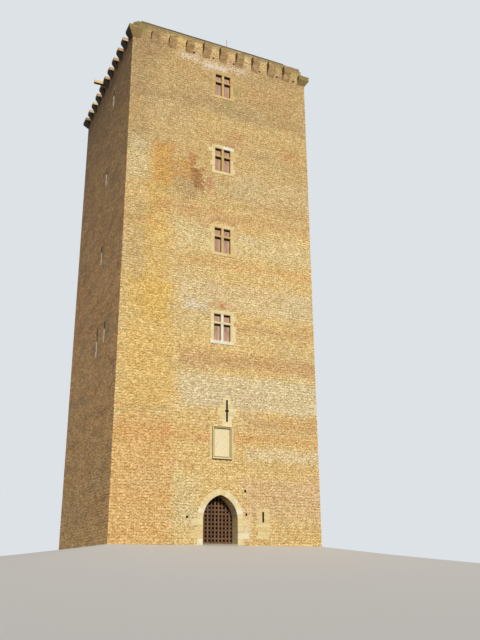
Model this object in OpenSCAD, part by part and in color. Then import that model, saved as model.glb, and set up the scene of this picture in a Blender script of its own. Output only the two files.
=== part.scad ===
// Square brick castle keep with stone dressings, a lattice portcullis and a corbelled crown.
// Sizes are millimetres. +Z is up, the front faces -Y, and the origin is the middle of the
// footprint at ground level. A feature of a face is drawn with x along the face, y as the depth
// into the wall and z up, and is then carried to its face by on_front, on_back or on_left.

/* [Keep] */
// Width across the front
keep_w = 14400; // [12000:100:18000]
// Depth from front to back
keep_d = 13200; // [11000:100:16000]
// Thickness of the brick walls
wall_t = 2800; // [2300:50:3400]

/* [Storeys] */
// Top of the first floor above the ground
first_floor_z = 5820; // [5400:20:7000]
// Height from one floor to the next
storey_h = 6480; // [5000:20:8000]
// Height from the top floor to the wall heads
top_storey_h = 4760; // [4400:20:6000]
// Depth of the roof terrace below the wall heads
terrace_drop = 900; // [300:50:1000]
// Thickness of the floor boards
board_t = 100; // [50:10:150]
// Width of a floor beam
beam_w = 280; // [200:10:350]
// Height of a floor beam
beam_h = 300; // [200:10:400]
// Length of beam that rests in its wall pocket
beam_bearing = 300; // [150:10:500]
// Height of the ground floor paving and the door sill
paving_h = 100; // [60:10:200]

/* [Cross windows] */
// Offset of the windows from the middle of the front
window_x = 50; // [-500:10:500]
// Height of a window sill above its floor
sill_h = 920; // [600:10:1200]
// Width of a window opening
window_w = 1200; // [900:20:1500]
// Height of the lights below the transom
lower_light_h = 1180; // [800:10:1500]
// Height of the lights above the transom
upper_light_h = 530; // [300:10:700]
// Width of the mullion
mullion_w = 200; // [120:10:260]
// Height of the transom
transom_h = 170; // [120:10:220]
// Depth of the mullion and transom
mullion_t = 200; // [120:10:260]
// Depth of the dressed stones round a window
frame_t = 400; // [320:10:600]
// Height of the sill stone
sill_stone_h = 260; // [180:10:340]
// How far the sill stone stands out of the wall
sill_proud = 60; // [55:5:100]
// Height of the lintel
lintel_h = 280; // [200:10:400]
// How far the sill stone and the lintel reach past the opening
lintel_reach = 290; // [200:10:400]
// Reach of the shortest jamb stone past the opening
jamb_short = 260; // [150:10:350]
// Reach of the longest jamb stone past the opening
jamb_long = 620; // [400:10:700]
// Bevel on the front edges of the window's stones
bevel = 45; // [20:5:50]
// Thickness of a shutter
shutter_t = 50; // [30:5:80]
// Running gap between two shutters
shutter_gap = 10; // [4:2:20]
// Width of the niche behind a window
niche_w = 1700; // [1500:20:2200]

/* [Slits] */
// Width of the front's slits
slit_w = 130; // [80:10:200]
// Width of the side slits
side_slit_w = 200; // [100:10:280]
// Height of one row of stones in a slit's surround
slit_row_h = 240; // [200:10:300]
// Depth of the dressed stones round a slit
slit_frame_t = 300; // [200:10:400]
// Width of the splay at the inner face of the wall
splay_w = 900; // [600:20:1200]
// Length of the cross arm of the arrow slit
cross_arm_w = 280; // [200:10:600]
// Height of the cross arm of the arrow slit
cross_arm_h = 110; // [60:10:160]
// Offset of the arrow slit from the middle of the front
arrow_slit_x = 390; // [-600:10:800]
// Offset of the low slit beside the doorway
low_slit_x = 2930; // [2500:10:4000]

/* [Doorway] */
// Offset of the doorway from the middle of the front
door_x = -40; // [-500:10:500]
// Width of the doorway
door_w = 2350; // [1900:50:2900]
// Height of the jambs above the door sill
door_jamb_h = 1450; // [1200:10:1800]
// How far the centre of each arch curve lies past the middle
arch_shift = 370; // [100:10:600]
// Thickness of the arch ring and the jambs
ring_t = 400; // [300:10:500]
// How much further the long stones of the jambs reach into the wall
jamb_tooth = 400; // [200:10:450]
// Depth of the wall in front of the portcullis groove
gate_leaf_t = 880; // [600:10:1000]
// Width of the groove that the portcullis slides in
groove_w = 200; // [180:10:260]
// Depth of the groove into each side of the doorway
groove_d = 165; // [120:5:250]

/* [Portcullis] */
// Spacing of the bars
bar_pitch = 250; // [200:10:300]
// Width of a bar
bar_w = 110; // [80:5:130]
// Thickness of an upright bar
upright_t = 80; // [60:5:90]
// Thickness of a cross bar
cross_bar_t = 70; // [50:5:80]
// Depth that the bars are halved into each other
bar_lap = 20; // [10:5:30]
// Length of the pointed feet
foot_h = 100; // [60:10:140]
// Gap under the feet when the portcullis is down
foot_gap = 0.3; // [0.1:0.1:1]
// Height of the portcullis above the crown of the arch
gate_hidden_h = 200; // [100:10:400]

/* [Panel] */
// Offset of the panel from the middle of the front
panel_x = 20; // [-500:10:500]
// Underside of the panel's stones above the ground
panel_z = 5290; // [5000:10:6000]
// Width of the panel's stones
panel_w = 1640; // [1400:20:2200]
// Height of the panel's stones
panel_h = 2090; // [1600:10:2400]
// Depth of the panel's stones in the wall
panel_t = 300; // [200:10:400]
// Width of the flush stone beside the raised moulding
panel_margin = 140; // [60:10:200]
// Width of the raised moulding
moulding_w = 100; // [90:5:140]
// How far the moulding stands out of the wall
moulding_proud = 160; // [100:5:200]
// Radius of the hollow along the inside of the moulding
moulding_hollow = 70; // [40:5:80]
// Width of the sunk border between the moulding and the slab
sunk_w = 60; // [30:5:90]
// Depth of the sunk border behind the wall's face
sunk_t = 60; // [30:5:100]
// How far the slab stands out of the wall
slab_proud = 20; // [5:5:60]

/* [Crown] */
// Number of corbels along each side, both corners included
corbel_n = 11; // [7:1:13]
// Width of a corbel
corbel_w = 600; // [400:20:700]
// How far a corbel stands out at its top
corbel_out = 400; // [300:20:500]
// How far a corbel stands out at its foot
corbel_foot_out = 100; // [60:10:200]
// Height over which a corbel slopes out to its full reach
corbel_slope_h = 500; // [300:10:580]
// Height of a corbel up to the wall heads
corbel_h = 750; // [600:10:900]
// How far a sound corbel of the front rises past the wall heads
corbel_rise = 370; // [270:10:600]
// Height of one step of the broken parapet
parapet_step_h = 250; // [200:10:350]
// Thickness of the parapet
parapet_t = 500; // [400:20:800]
// Height of the coping
coping_h = 100; // [60:10:200]
// How far the coping reaches past the parapet
coping_lip = 30; // [10:5:60]

/* [Fittings] */
// Width of the water spout
spout_w = 260; // [200:10:320]
// Height of the water spout
spout_h = 240; // [180:10:300]
// How far the spout stands out past the corbels
spout_out = 650; // [400:10:900]
// Length of the spout in the wall
spout_tail = 800; // [500:10:1200]
// Side of a putlog hole
putlog_w = 140; // [100:10:180]
// Depth of a putlog hole
putlog_d = 400; // [200:10:600]
// Radius of the roof rod
rod_r = 25; // [15:1:40]
// Height of the roof rod
rod_h = 900; // [600:50:2000]
// Offset of the roof rod from the middle of the front
rod_x = 450; // [-2000:50:2000]

/* [Hidden] */

$fn = 48;
arc_fn = 360;
brick = "#c9a262";
limestone = "#d8c9a6";
oak = "#7d5a48";
old_oak = "#3f2c20";
paving = "#a89878";

// Storeys
storey_n = 4;
wall_top = first_floor_z + storey_n * storey_h + top_storey_h;
inner_w = keep_w - 2 * wall_t;
inner_d = keep_d - 2 * wall_t;
beam_n = 5;

// Cross windows
window_h = lower_light_h + transom_h + upper_light_h;
jamb_rows = 5;
jamb_steps = [0, 1, 0.4, 0.8];
sill_slope = 25;
niche_below = 300;
niche_above = 260;

// Slits: place from the front corner, storey, rows of stones and drop below the window sills
side_slits = [
  [3400, 1, 8, 0],
  [5350, 1, 11, 600],
  [5450, 2, 8, 0],
  [5400, 3, 8, 0],
  [4550, 4, 8, 0]
];
slit_short = 220;
slit_long = 320;
arrow_stone_halves = [350, 350, 480, 640, 640, 480, 280, 280];
arrow_slit_open_z = 300;
arrow_slit_open_h = 1450;
low_slit_rows = 8;
low_slit_z = 400;
low_slit_open_z = 1430;
low_slit_open_h = 660;
low_slit_short = 380;
low_slit_long = 500;
splay_throat = 300;
splay_below = 300;
splay_above = 200;

// Doorway: two arcs of one radius, each centred past the middle
door_half = door_w / 2;
arch_r = door_half + arch_shift;
spring_z = paving_h + door_jamb_h;
apex_z = spring_z + sqrt(arch_r * arch_r - arch_shift * arch_shift);
groove_half = door_half + groove_d;
brick_over_panel = 50;
gate_zone_h = panel_z + panel_h + brick_over_panel;
arrow_slit_z = gate_zone_h;
jamb_edge = door_half + ring_t;
door_jamb_rows = 4;

// Portcullis: as many bars as the grooves hold
gate_t = upright_t + cross_bar_t - bar_lap;
gate_clear = (groove_w - gate_t) / 2;
uprights_each_side = floor((groove_half - gate_clear - bar_w / 2) / bar_pitch);
gate_foot_z = paving_h + foot_gap;
cross_bar_z = paving_h + foot_h;
cross_bar_n = ceil((apex_z + gate_hidden_h - cross_bar_z) / bar_pitch) + 1;
gate_top_z = cross_bar_z + (cross_bar_n - 1) * bar_pitch + bar_w / 2;
foot_tip_w = 20;

// Crown
front_pitch = (keep_w - corbel_w) / (corbel_n - 1);
side_pitch = (keep_d - corbel_w) / (corbel_n - 1);
corbel_z = wall_top - corbel_h;
spout_gap_index = 5;
spout_from_front = spout_gap_index * side_pitch + corbel_w + (side_pitch - corbel_w) / 2;
channel_w = 110;
channel_d = 80;

// What is missing at the crown of the front: the share of its rise that each corbel has lost, and
// how far each step of the parapet and the coping stop short of the left and the right corner
corbel_losses = [1, 0.7, 0.7, 0, 0, 0, 0, 0, 0, 0, 0];
parapet_left = [0, 0, 300];
parapet_right = [0, 250, 400];
coping_left = 600;
coping_right = 1850;
parapet_steps = len(parapet_left);
parapet_h = parapet_steps * parapet_step_h;

// Putlog holes of the front: distance from the doorway's stones and height, and a row at the crown
low_putlogs_left = [[665, 1580]];
low_putlogs_right = [[205, 1810], [145, 3270]];
high_putlog_drop = 650;
high_putlogs = [-2360, -780, 940, 3190, 4750, 6210];

// Sill of the cross window above floor k, counted from 1
function window_sill(k) = first_floor_z + k * storey_h + sill_h;

// Reach of stone i of a jamb past the opening, shifted from window to window
function jamb_reach(i, shift) =
  jamb_short + (jamb_long - jamb_short) * jamb_steps[(3 * i + shift) % len(jamb_steps)];

// A box between two opposite corners
module box(a, b) {
  translate(a) cube(b - a);
}

// Carries a feature of a face to the front, the back or the left side
module on_front() {
  translate([0, -keep_d / 2, 0]) children();
}

module on_back() {
  translate([0, keep_d / 2, 0]) rotate(180) children();
}

module on_left() {
  translate([-keep_w / 2, 0, 0]) rotate(-90) children();
}

// Stands a flat outline upright, from depth a to depth b
module upright(a, b) {
  translate([0, b, 0]) rotate([90, 0, 0]) linear_extrude(b - a) children();
}

// Rows of stones, long on alternate sides of the middle line
module toothed_rows(short_w, long_w, row_h, rows, depth) {
  for (i = [0 : rows - 1]) {
    left = i % 2 == 0 ? long_w : short_w;
    right = i % 2 == 0 ? short_w : long_w;
    translate([-left, 0, i * row_h]) cube([left + right, depth, row_h]);
  }
}

// Cross window above floor k, with its sill line at z = 0

module window_stones(k) {
  half = window_w / 2;
  row_h = window_h / jamb_rows;
  for (i = [0 : jamb_rows - 1]) {
    box(
      [-half - jamb_reach(i, k), 0, i * row_h],
      [half + jamb_reach(i, k + 2), frame_t, (i + 1) * row_h]
    );
  }
  for (z = [[-sill_stone_h, 0], [window_h, window_h + lintel_h]]) {
    box([-half - lintel_reach, 0, z[0]], [half + lintel_reach, frame_t, z[1]]);
  }
}

module window_cut(k) {
  window_stones(k);
  box([-niche_w / 2, frame_t, -niche_below], [niche_w / 2, wall_t, window_h + niche_above]);
}

// Nose of the sill stone: a sloped top and a bevelled lower edge
module sill_nose() {
  half = window_w / 2 + lintel_reach;
  translate([-half, 0, 0]) rotate([90, 0, 90]) linear_extrude(2 * half)
    polygon([
      [0, 0], [-sill_proud, -sill_slope], [-sill_proud, bevel - sill_stone_h],
      [bevel - sill_proud, -sill_stone_h], [0, -sill_stone_h]
    ]);
}

// Opening of one light from z = 0 up: bevels widen it to the front at its sides, its head and its foot
module light_cut(w, h, foot_bevel) {
  half = w / 2;
  intersection() {
    translate([0, 0, -foot_bevel]) linear_extrude(foot_bevel + h + bevel)
      polygon([
        [-half - bevel, 0], [half + bevel, 0], [half, bevel],
        [half, mullion_t], [-half, mullion_t], [-half, bevel]
      ]);
    translate([-half - bevel, 0, 0]) rotate([90, 0, 90]) linear_extrude(w + 2 * bevel)
      polygon([
        [0, -foot_bevel], [bevel, 0], [mullion_t, 0],
        [mullion_t, h], [bevel, h], [0, h + bevel]
      ]);
  }
}

module window_frame(k) {
  light_w = (window_w - mullion_w) / 2;
  difference() {
    window_stones(k);
    box([-window_w / 2, mullion_t, 0], [window_w / 2, frame_t, window_h]);
    for (side = [-1, 1]) {
      translate([side * (mullion_w + light_w) / 2, 0, 0]) {
        light_cut(light_w, lower_light_h, 0);
        translate([0, 0, lower_light_h + transom_h]) light_cut(light_w, upper_light_h, bevel);
      }
    }
  }
  sill_nose();
}

module window_shutters() {
  joint_z = lower_light_h + transom_h / 2;
  gap = shutter_gap / 2;
  for (side = [0, 1]) {
    mirror([side, 0, 0]) {
      box([gap, mullion_t, 0], [window_w / 2, mullion_t + shutter_t, joint_z - gap]);
      box([gap, mullion_t, joint_z + gap], [window_w / 2, mullion_t + shutter_t, window_h]);
    }
  }
}

// Slit with the underside of its surround at z = 0

module slit_splay(open_z, open_h) {
  translate([0, 0, open_z - splay_below])
    linear_extrude(open_h + splay_below + splay_above)
      polygon([
        [-splay_throat / 2, slit_frame_t], [splay_throat / 2, slit_frame_t],
        [splay_w / 2, wall_t], [-splay_w / 2, wall_t]
      ]);
}

// Takes the surround's stones as its child
module slit_cut(open_z, open_h) {
  children();
  slit_splay(open_z, open_h);
}

module slit_frame(width, open_z, open_h) {
  difference() {
    children();
    box([-width / 2, 0, open_z], [width / 2, slit_frame_t, open_z + open_h]);
  }
}

// A side slit leaves its lowest and highest row of stones whole
module side_slit_stones(rows) {
  toothed_rows(slit_short, slit_long, slit_row_h, rows, slit_frame_t);
}

module side_slit_cut(rows) {
  slit_cut(slit_row_h, (rows - 2) * slit_row_h) side_slit_stones(rows);
}

module side_slit_frame(rows) {
  slit_frame(side_slit_w, slit_row_h, (rows - 2) * slit_row_h) side_slit_stones(rows);
}

// The arrow slit's surround is widest at the cross arm
module arrow_slit_stones() {
  for (i = [0 : len(arrow_stone_halves) - 1]) {
    half = arrow_stone_halves[i];
    translate([-half, 0, i * slit_row_h]) cube([2 * half, slit_frame_t, slit_row_h]);
  }
}

module low_slit_stones() {
  toothed_rows(low_slit_short, low_slit_long, slit_row_h, low_slit_rows, slit_frame_t);
}

// Puts children at the place of a side slit on the left face
module at_side_slit(slit) {
  translate([keep_d / 2 - slit[0], 0, window_sill(slit[1]) - slit[3] - slit_row_h]) children();
}

// Doorway outline in the plane of the face, grown outwards by a margin
module arch_outline(grow = 0) {
  half = door_half + grow;
  r = arch_r + grow;
  translate([door_x, 0]) {
    translate([-half, 0]) square([2 * half, spring_z]);
    intersection() {
      translate([arch_shift, spring_z]) circle(r = r, $fn = arc_fn);
      translate([-arch_shift, spring_z]) circle(r = r, $fn = arc_fn);
      translate([-half, spring_z]) square([2 * half, r]);
    }
  }
}

module putlogs(places) {
  for (p = places) {
    translate([p[0] - putlog_w / 2, 0, p[1]]) cube([putlog_w, putlog_d, putlog_w]);
  }
}

// Front wall, split over the doorway and beside it

module front_wall() {
  color(brick) on_front() difference() {
    box([-keep_w / 2, 0, gate_zone_h], [keep_w / 2, wall_t, wall_top]);
    window_cuts();
    translate([arrow_slit_x, 0, arrow_slit_z])
      slit_cut(arrow_slit_open_z, arrow_slit_open_h) arrow_slit_stones();
    putlogs([for (x = high_putlogs) [x, wall_top - high_putlog_drop]]);
  }
}

module front_wall_left() {
  color(brick) on_front() difference() {
    box([-keep_w / 2, 0, 0], [door_x - groove_half, wall_t, gate_zone_h]);
    upright(0, gate_leaf_t) arch_outline(ring_t);
    door_jamb_stones();
    putlogs([for (p = low_putlogs_left) [door_x - jamb_edge - p[0], p[1]]]);
  }
}

module front_wall_right() {
  color(brick) on_front() difference() {
    box([door_x + groove_half, 0, 0], [keep_w / 2, wall_t, gate_zone_h]);
    upright(0, gate_leaf_t) arch_outline(ring_t);
    door_jamb_stones();
    translate([low_slit_x, 0, low_slit_z])
      slit_cut(low_slit_open_z - low_slit_z, low_slit_open_h) low_slit_stones();
    putlogs([for (p = low_putlogs_right) [door_x + jamb_edge + p[0], p[1]]]);
  }
}

module wall_over_door() {
  color(brick) on_front() difference() {
    box([door_x - groove_half, 0, spring_z], [door_x + groove_half, gate_leaf_t, gate_zone_h]);
    upright(0, gate_leaf_t) arch_outline(ring_t);
    panel_recess();
  }
}

module passage_vault() {
  color(brick) on_front() difference() {
    box(
      [door_x - groove_half, gate_leaf_t + groove_w, 0],
      [door_x + groove_half, wall_t, gate_zone_h]
    );
    upright(gate_leaf_t + groove_w, wall_t) arch_outline();
  }
}

// Side and back walls

module side_wall() {
  difference() {
    box([-keep_w / 2, -inner_d / 2, 0], [-inner_w / 2, inner_d / 2, wall_top]);
    on_left() for (slit = side_slits) {
      at_side_slit(slit) side_slit_cut(slit[2]);
    }
    for (k = [0 : storey_n]) {
      floor_beams(first_floor_z + k * storey_h);
    }
    floor_beams(wall_top - terrace_drop);
  }
}

module left_wall() {
  color(brick) difference() {
    side_wall();
    spout_body();
  }
}

module right_wall() {
  color(brick) mirror([1, 0, 0]) side_wall();
}

module back_wall() {
  color(brick) on_back() difference() {
    box([-keep_w / 2, 0, 0], [keep_w / 2, wall_t, wall_top]);
    window_cuts();
  }
}

// Floors: boards on beams whose ends rest in wall pockets

module floor_beams(top_z) {
  pitch = inner_d / beam_n;
  for (i = [0 : beam_n - 1]) {
    y = -inner_d / 2 + (i + 0.5) * pitch;
    box(
      [-inner_w / 2 - beam_bearing, y - beam_w / 2, top_z - board_t - beam_h],
      [inner_w / 2 + beam_bearing, y + beam_w / 2, top_z - board_t]
    );
  }
}

module timber_floor(top_z) {
  floor_beams(top_z);
  box([-inner_w / 2, -inner_d / 2, top_z - board_t], [inner_w / 2, inner_d / 2, top_z]);
}

module upper_floors() {
  color(oak) for (k = [0 : storey_n]) {
    timber_floor(first_floor_z + k * storey_h);
  }
}

module roof_terrace() {
  color(paving) timber_floor(wall_top - terrace_drop);
}

module ground_floor() {
  color(paving) box([-inner_w / 2, -inner_d / 2, 0], [inner_w / 2, inner_d / 2, paving_h]);
}

// Doorway stones

module door_arch() {
  color(limestone) on_front() difference() {
    upright(0, gate_leaf_t) arch_outline(ring_t);
    upright(0, gate_leaf_t) arch_outline();
    box([door_x - jamb_edge, 0, 0], [door_x + jamb_edge, gate_leaf_t, spring_z]);
  }
}

// Both jambs: rows of stones, short and long by turns
module door_jamb_stones() {
  row_h = spring_z / door_jamb_rows;
  translate([door_x, 0, 0]) for (side = [0, 1], i = [0 : door_jamb_rows - 1]) {
    mirror([side, 0, 0])
      box([door_half, 0, i * row_h], [jamb_edge + (i % 2) * jamb_tooth, gate_leaf_t, (i + 1) * row_h]);
  }
}

module door_jambs() {
  color(limestone) on_front() door_jamb_stones();
}

module door_sill() {
  color(paving) on_front() translate([door_x, 0, 0]) {
    box([-door_half, 0, 0], [door_half, wall_t, paving_h]);
    box([-groove_half, gate_leaf_t, 0], [groove_half, gate_leaf_t + groove_w, paving_h]);
  }
}

// Portcullis: upright bars with pointed feet, halved over cross bars behind them

module upright_bar() {
  upright(0, upright_t)
    polygon([
      [-foot_tip_w / 2, gate_foot_z], [foot_tip_w / 2, gate_foot_z],
      [bar_w / 2, gate_foot_z + foot_h], [bar_w / 2, gate_top_z],
      [-bar_w / 2, gate_top_z], [-bar_w / 2, gate_foot_z + foot_h]
    ]);
}

module cross_bar() {
  half = uprights_each_side * bar_pitch + bar_w / 2;
  box([-half, 0, -bar_w / 2], [half, cross_bar_t, bar_w / 2]);
}

module portcullis() {
  color(old_oak) on_front() translate([door_x, gate_leaf_t + gate_clear, 0]) {
    for (i = [-uprights_each_side : uprights_each_side]) {
      translate([i * bar_pitch, 0, 0]) upright_bar();
    }
    for (j = [0 : cross_bar_n - 1]) {
      translate([0, upright_t - bar_lap, cross_bar_z + j * bar_pitch]) cross_bar();
    }
  }
}

// Panel over the doorway: a raised moulding round a bare slab

module panel_recess() {
  translate([panel_x - panel_w / 2, 0, panel_z]) cube([panel_w, panel_t, panel_h]);
}

// A block over the panel, inset from the raised moulding's outside, between two depths
module panel_block(inset, a, b) {
  half = panel_w / 2 - panel_margin - inset;
  box([panel_x - half, a, panel_z + inset], [panel_x + half, b, panel_z + panel_h - inset]);
}

// A rounded hollow along the inner front edge of the moulding
module moulding_hollows() {
  half = panel_w / 2 - panel_margin - moulding_w;
  low = panel_z + moulding_w;
  height = panel_h - 2 * moulding_w;
  translate([panel_x, -moulding_proud, low]) for (x = [-half, half], z = [0, height]) {
    translate([x, 0, z]) sphere(moulding_hollow);
    translate([x, 0, 0]) cylinder(r = moulding_hollow, h = height);
    translate([-half, 0, z]) rotate([0, 90, 0]) cylinder(r = moulding_hollow, h = 2 * half);
  }
}

module panel_slab_body() {
  panel_block(moulding_w + sunk_w, -slab_proud, panel_t / 2);
}

module panel_frame() {
  color(limestone) on_front() difference() {
    union() {
      panel_recess();
      panel_block(0, -moulding_proud, 0);
    }
    panel_block(moulding_w, -moulding_proud, sunk_t);
    moulding_hollows();
    panel_slab_body();
  }
}

module panel_slab() {
  color(limestone) on_front() panel_slab_body();
}

// Slit surrounds

module arrow_slit_frame() {
  arm_z = arrow_slit_open_z + arrow_slit_open_h / 2;
  color(limestone) on_front() translate([arrow_slit_x, 0, arrow_slit_z]) difference() {
    slit_frame(slit_w, arrow_slit_open_z, arrow_slit_open_h) arrow_slit_stones();
    box(
      [-cross_arm_w / 2, 0, arm_z - cross_arm_h / 2],
      [cross_arm_w / 2, slit_frame_t, arm_z + cross_arm_h / 2]
    );
  }
}

module low_slit_frame() {
  color(limestone) on_front() translate([low_slit_x, 0, low_slit_z])
    slit_frame(slit_w, low_slit_open_z - low_slit_z, low_slit_open_h) low_slit_stones();
}

module side_slit_frames() {
  on_left() for (slit = side_slits) {
    at_side_slit(slit) side_slit_frame(slit[2]);
  }
}

module left_slit_frames() {
  color(limestone) side_slit_frames();
}

module right_slit_frames() {
  color(limestone) mirror([1, 0, 0]) side_slit_frames();
}

// Windows of the front and the back

module window_cuts() {
  for (k = [1 : storey_n]) {
    translate([window_x, 0, window_sill(k)]) window_cut(k);
  }
}

module window_frames() {
  for (k = [1 : storey_n]) {
    translate([window_x, 0, window_sill(k)]) window_frame(k);
  }
}

module all_shutters() {
  for (k = [1 : storey_n]) {
    translate([window_x, 0, window_sill(k)]) window_shutters();
  }
}

module front_window_frames() {
  color(limestone) on_front() window_frames();
}

module back_window_frames() {
  color(limestone) on_back() window_frames();
}

module front_window_shutters() {
  color(oak) on_front() all_shutters();
}

module back_window_shutters() {
  color(oak) on_back() all_shutters();
}

// Corbels: a foot that slopes out to an upright head

module corbel_profile(height) {
  polygon([
    [0, 0], [corbel_foot_out, 0], [corbel_out, corbel_slope_h], [corbel_out, height], [0, height]
  ]);
}

// A length of corbel profile along x, standing out of the face
module corbel_run(length, height) {
  translate([0, 0, corbel_z]) rotate([90, 0, -90]) mirror([0, 0, 1])
    linear_extrude(length) corbel_profile(height);
}

// Corbels of the front or the back, which rise in front of the parapet, as does the left corner's head
module tall_corbels() {
  box([-keep_w / 2, -corbel_out, wall_top], [-keep_w / 2 + corbel_w, 0, wall_top + corbel_rise]);
  for (i = [1 : corbel_n - 2]) {
    translate([-keep_w / 2 + i * front_pitch, 0, 0])
      corbel_run(corbel_w, corbel_h + corbel_rise * (1 - corbel_losses[i - 1]));
  }
}

module side_corbels() {
  on_left() for (i = [1 : corbel_n - 2]) {
    translate([-keep_d / 2 + i * side_pitch, 0, 0]) corbel_run(corbel_w, corbel_h);
  }
}

module front_corbels() {
  color(brick) on_front() tall_corbels();
}

module back_corbels() {
  color(brick) on_back() tall_corbels();
}

module left_corbels() {
  color(brick) side_corbels();
}

module right_corbels() {
  color(brick) mirror([1, 0, 0]) side_corbels();
}

// The two end corbels of a corner, joined by a mitred stone
module corner_corbel() {
  on_front() translate([-keep_w / 2, 0, 0]) corbel_run(corbel_w, corbel_h);
  on_left() translate([keep_d / 2 - corbel_w, 0, 0]) corbel_run(corbel_w, corbel_h);
  intersection() {
    on_front() translate([-keep_w / 2 - corbel_out, 0, 0]) corbel_run(corbel_out, corbel_h);
    on_left() translate([keep_d / 2, 0, 0]) corbel_run(corbel_out, corbel_h);
  }
}

module corner_corbels() {
  color(brick) for (x_side = [0, 1], y_side = [0, 1]) {
    mirror([x_side, 0, 0]) mirror([0, y_side, 0]) corner_corbel();
  }
}

// What is left of the parapet, whose ends are broken away in steps, and of its coping

module parapet_remains() {
  for (i = [0 : parapet_steps - 1]) {
    box(
      [-keep_w / 2 + parapet_left[i], 0, wall_top + i * parapet_step_h],
      [keep_w / 2 - parapet_right[i], parapet_t, wall_top + (i + 1) * parapet_step_h]
    );
  }
}

module coping_remains() {
  box(
    [-keep_w / 2 + coping_left, -coping_lip, wall_top + parapet_h],
    [keep_w / 2 - coping_right, parapet_t + coping_lip, wall_top + parapet_h + coping_h]
  );
}

module front_parapet() {
  color(brick) on_front() parapet_remains();
}

module back_parapet() {
  color(brick) on_back() parapet_remains();
}

module front_coping() {
  color(limestone) on_front() coping_remains();
}

module back_coping() {
  color(limestone) on_back() coping_remains();
}

// Water spout in a notch of the left wall head

module spout_body() {
  on_left() translate([keep_d / 2 - spout_from_front, 0, wall_top - spout_h])
    box([-spout_w / 2, -corbel_out - spout_out, 0], [spout_w / 2, spout_tail, spout_h]);
}

module water_spout() {
  color(limestone) difference() {
    spout_body();
    on_left() translate([keep_d / 2 - spout_from_front, 0, wall_top - channel_d])
      box([-channel_w / 2, -corbel_out - spout_out, 0], [channel_w / 2, spout_tail, channel_d]);
  }
}

module roof_rod() {
  color("silver") on_front()
    translate([rod_x, parapet_t / 2, wall_top + parapet_h + coping_h]) cylinder(r = rod_r, h = rod_h);
}

front_wall();
front_wall_left();
front_wall_right();
wall_over_door();
passage_vault();
left_wall();
right_wall();
back_wall();
ground_floor();
upper_floors();
roof_terrace();
door_arch();
door_jambs();
door_sill();
portcullis();
panel_frame();
panel_slab();
arrow_slit_frame();
low_slit_frame();
front_window_frames();
back_window_frames();
front_window_shutters();
back_window_shutters();
left_slit_frames();
right_slit_frames();
front_corbels();
back_corbels();
left_corbels();
right_corbels();
corner_corbels();
front_parapet();
back_parapet();
front_coping();
back_coping();
water_spout();
roof_rod();
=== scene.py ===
# %% [markdown]
# # A brick castle keep
# The keep is a square tower of golden brick, about 37 m tall, with pale limestone round its openings,
# timber behind its windows and a lattice gate in its doorway. The CAD model holds its true shape. This
# lesson adds what a mason, a carpenter and the weather gave it: single stones, boards, bolts, worn edges,
# and the finishes.

# %% Load the measured model
import math

import bpy
import numpy as np
from mathutils import Matrix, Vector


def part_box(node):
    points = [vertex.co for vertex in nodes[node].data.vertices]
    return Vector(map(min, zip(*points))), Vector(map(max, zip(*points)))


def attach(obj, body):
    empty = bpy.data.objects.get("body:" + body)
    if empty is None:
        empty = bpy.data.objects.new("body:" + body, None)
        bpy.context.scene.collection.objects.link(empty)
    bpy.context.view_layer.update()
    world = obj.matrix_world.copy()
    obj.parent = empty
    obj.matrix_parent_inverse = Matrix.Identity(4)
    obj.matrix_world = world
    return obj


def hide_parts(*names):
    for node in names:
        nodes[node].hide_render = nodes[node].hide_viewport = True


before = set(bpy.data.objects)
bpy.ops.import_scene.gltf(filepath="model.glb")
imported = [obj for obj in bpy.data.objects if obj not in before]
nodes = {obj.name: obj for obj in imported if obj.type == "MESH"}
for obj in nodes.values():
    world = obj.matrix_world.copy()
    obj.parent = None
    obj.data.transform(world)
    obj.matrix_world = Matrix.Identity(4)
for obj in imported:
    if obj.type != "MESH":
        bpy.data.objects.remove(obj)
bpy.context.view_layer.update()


# %% [markdown]
# Everything is measured from the planes of the walls. They are read from the model, so that the stones stay
# on the walls. Sizes that no node gives by its box are repeated here in metres.

# %% Planes of the walls and the sizes of the openings
wall_low, wall_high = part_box("front_wall")
half_w, front_y, wall_top = wall_high.x, wall_low.y, wall_high.z
back_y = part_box("back_wall")[1].y
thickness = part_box("left_wall")[1].x + half_w

window_x, window_half, window_h = 0.05, 0.6, 1.88
first_sill, storey_h = 13.22, 6.48
STOREYS = range(1, 5)
mullion_w, transom_z, transom_h, bevel = 0.2, 1.18, 0.17, 0.045
bar_depth, frame_depth = 0.2, 0.4

door_x, door_half, spring_z = -0.04, 1.175, 1.55
arch_shift, ring_t, gate_depth = 0.37, 0.4, 0.88
print("walls", round(2 * half_w, 2), "by", round(back_y - front_y, 2), "m,", round(thickness, 2), "m thick")

# %% [markdown]
# ## The camera
# The photographer stood below the foot of the keep, 44 m in front of it and 19 m to the left, with the
# camera tilted up by 19 degrees. The camera is made from the three directions it looks along, because a
# rotation matrix built from them can't mix up the order of its turns.

# %% Put the camera where the photographer stood
PHOTO_SIZE = (480, 640)
FOCAL_PIXELS = 744.36
CAMERA_AT = (-19.151, -50.577, -1.794)
yaw, pitch, roll = (math.radians(a) for a in (25.008, 18.984, -0.307))

ahead = np.array([math.sin(yaw) * math.cos(pitch), math.cos(yaw) * math.cos(pitch), math.sin(pitch)])
level = np.array([math.cos(yaw), -math.sin(yaw), 0.0])
upward = np.cross(level, ahead)
to_right = level * math.cos(roll) + upward * math.sin(roll)
to_top = upward * math.cos(roll) - level * math.sin(roll)

lens = bpy.data.cameras.new("photo_camera")
lens.sensor_width = 36.0
lens.lens = FOCAL_PIXELS * lens.sensor_width / PHOTO_SIZE[1]
lens.clip_end = 2000.0
camera = bpy.data.objects.new("photo_camera", lens)
turned = Matrix(np.column_stack([to_right, to_top, -ahead]).tolist()).to_4x4()
turned.translation = CAMERA_AT
camera.matrix_world = turned
bpy.context.scene.collection.objects.link(camera)
bpy.context.scene.camera = camera
print("lens", round(lens.lens, 2), "mm")

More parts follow.
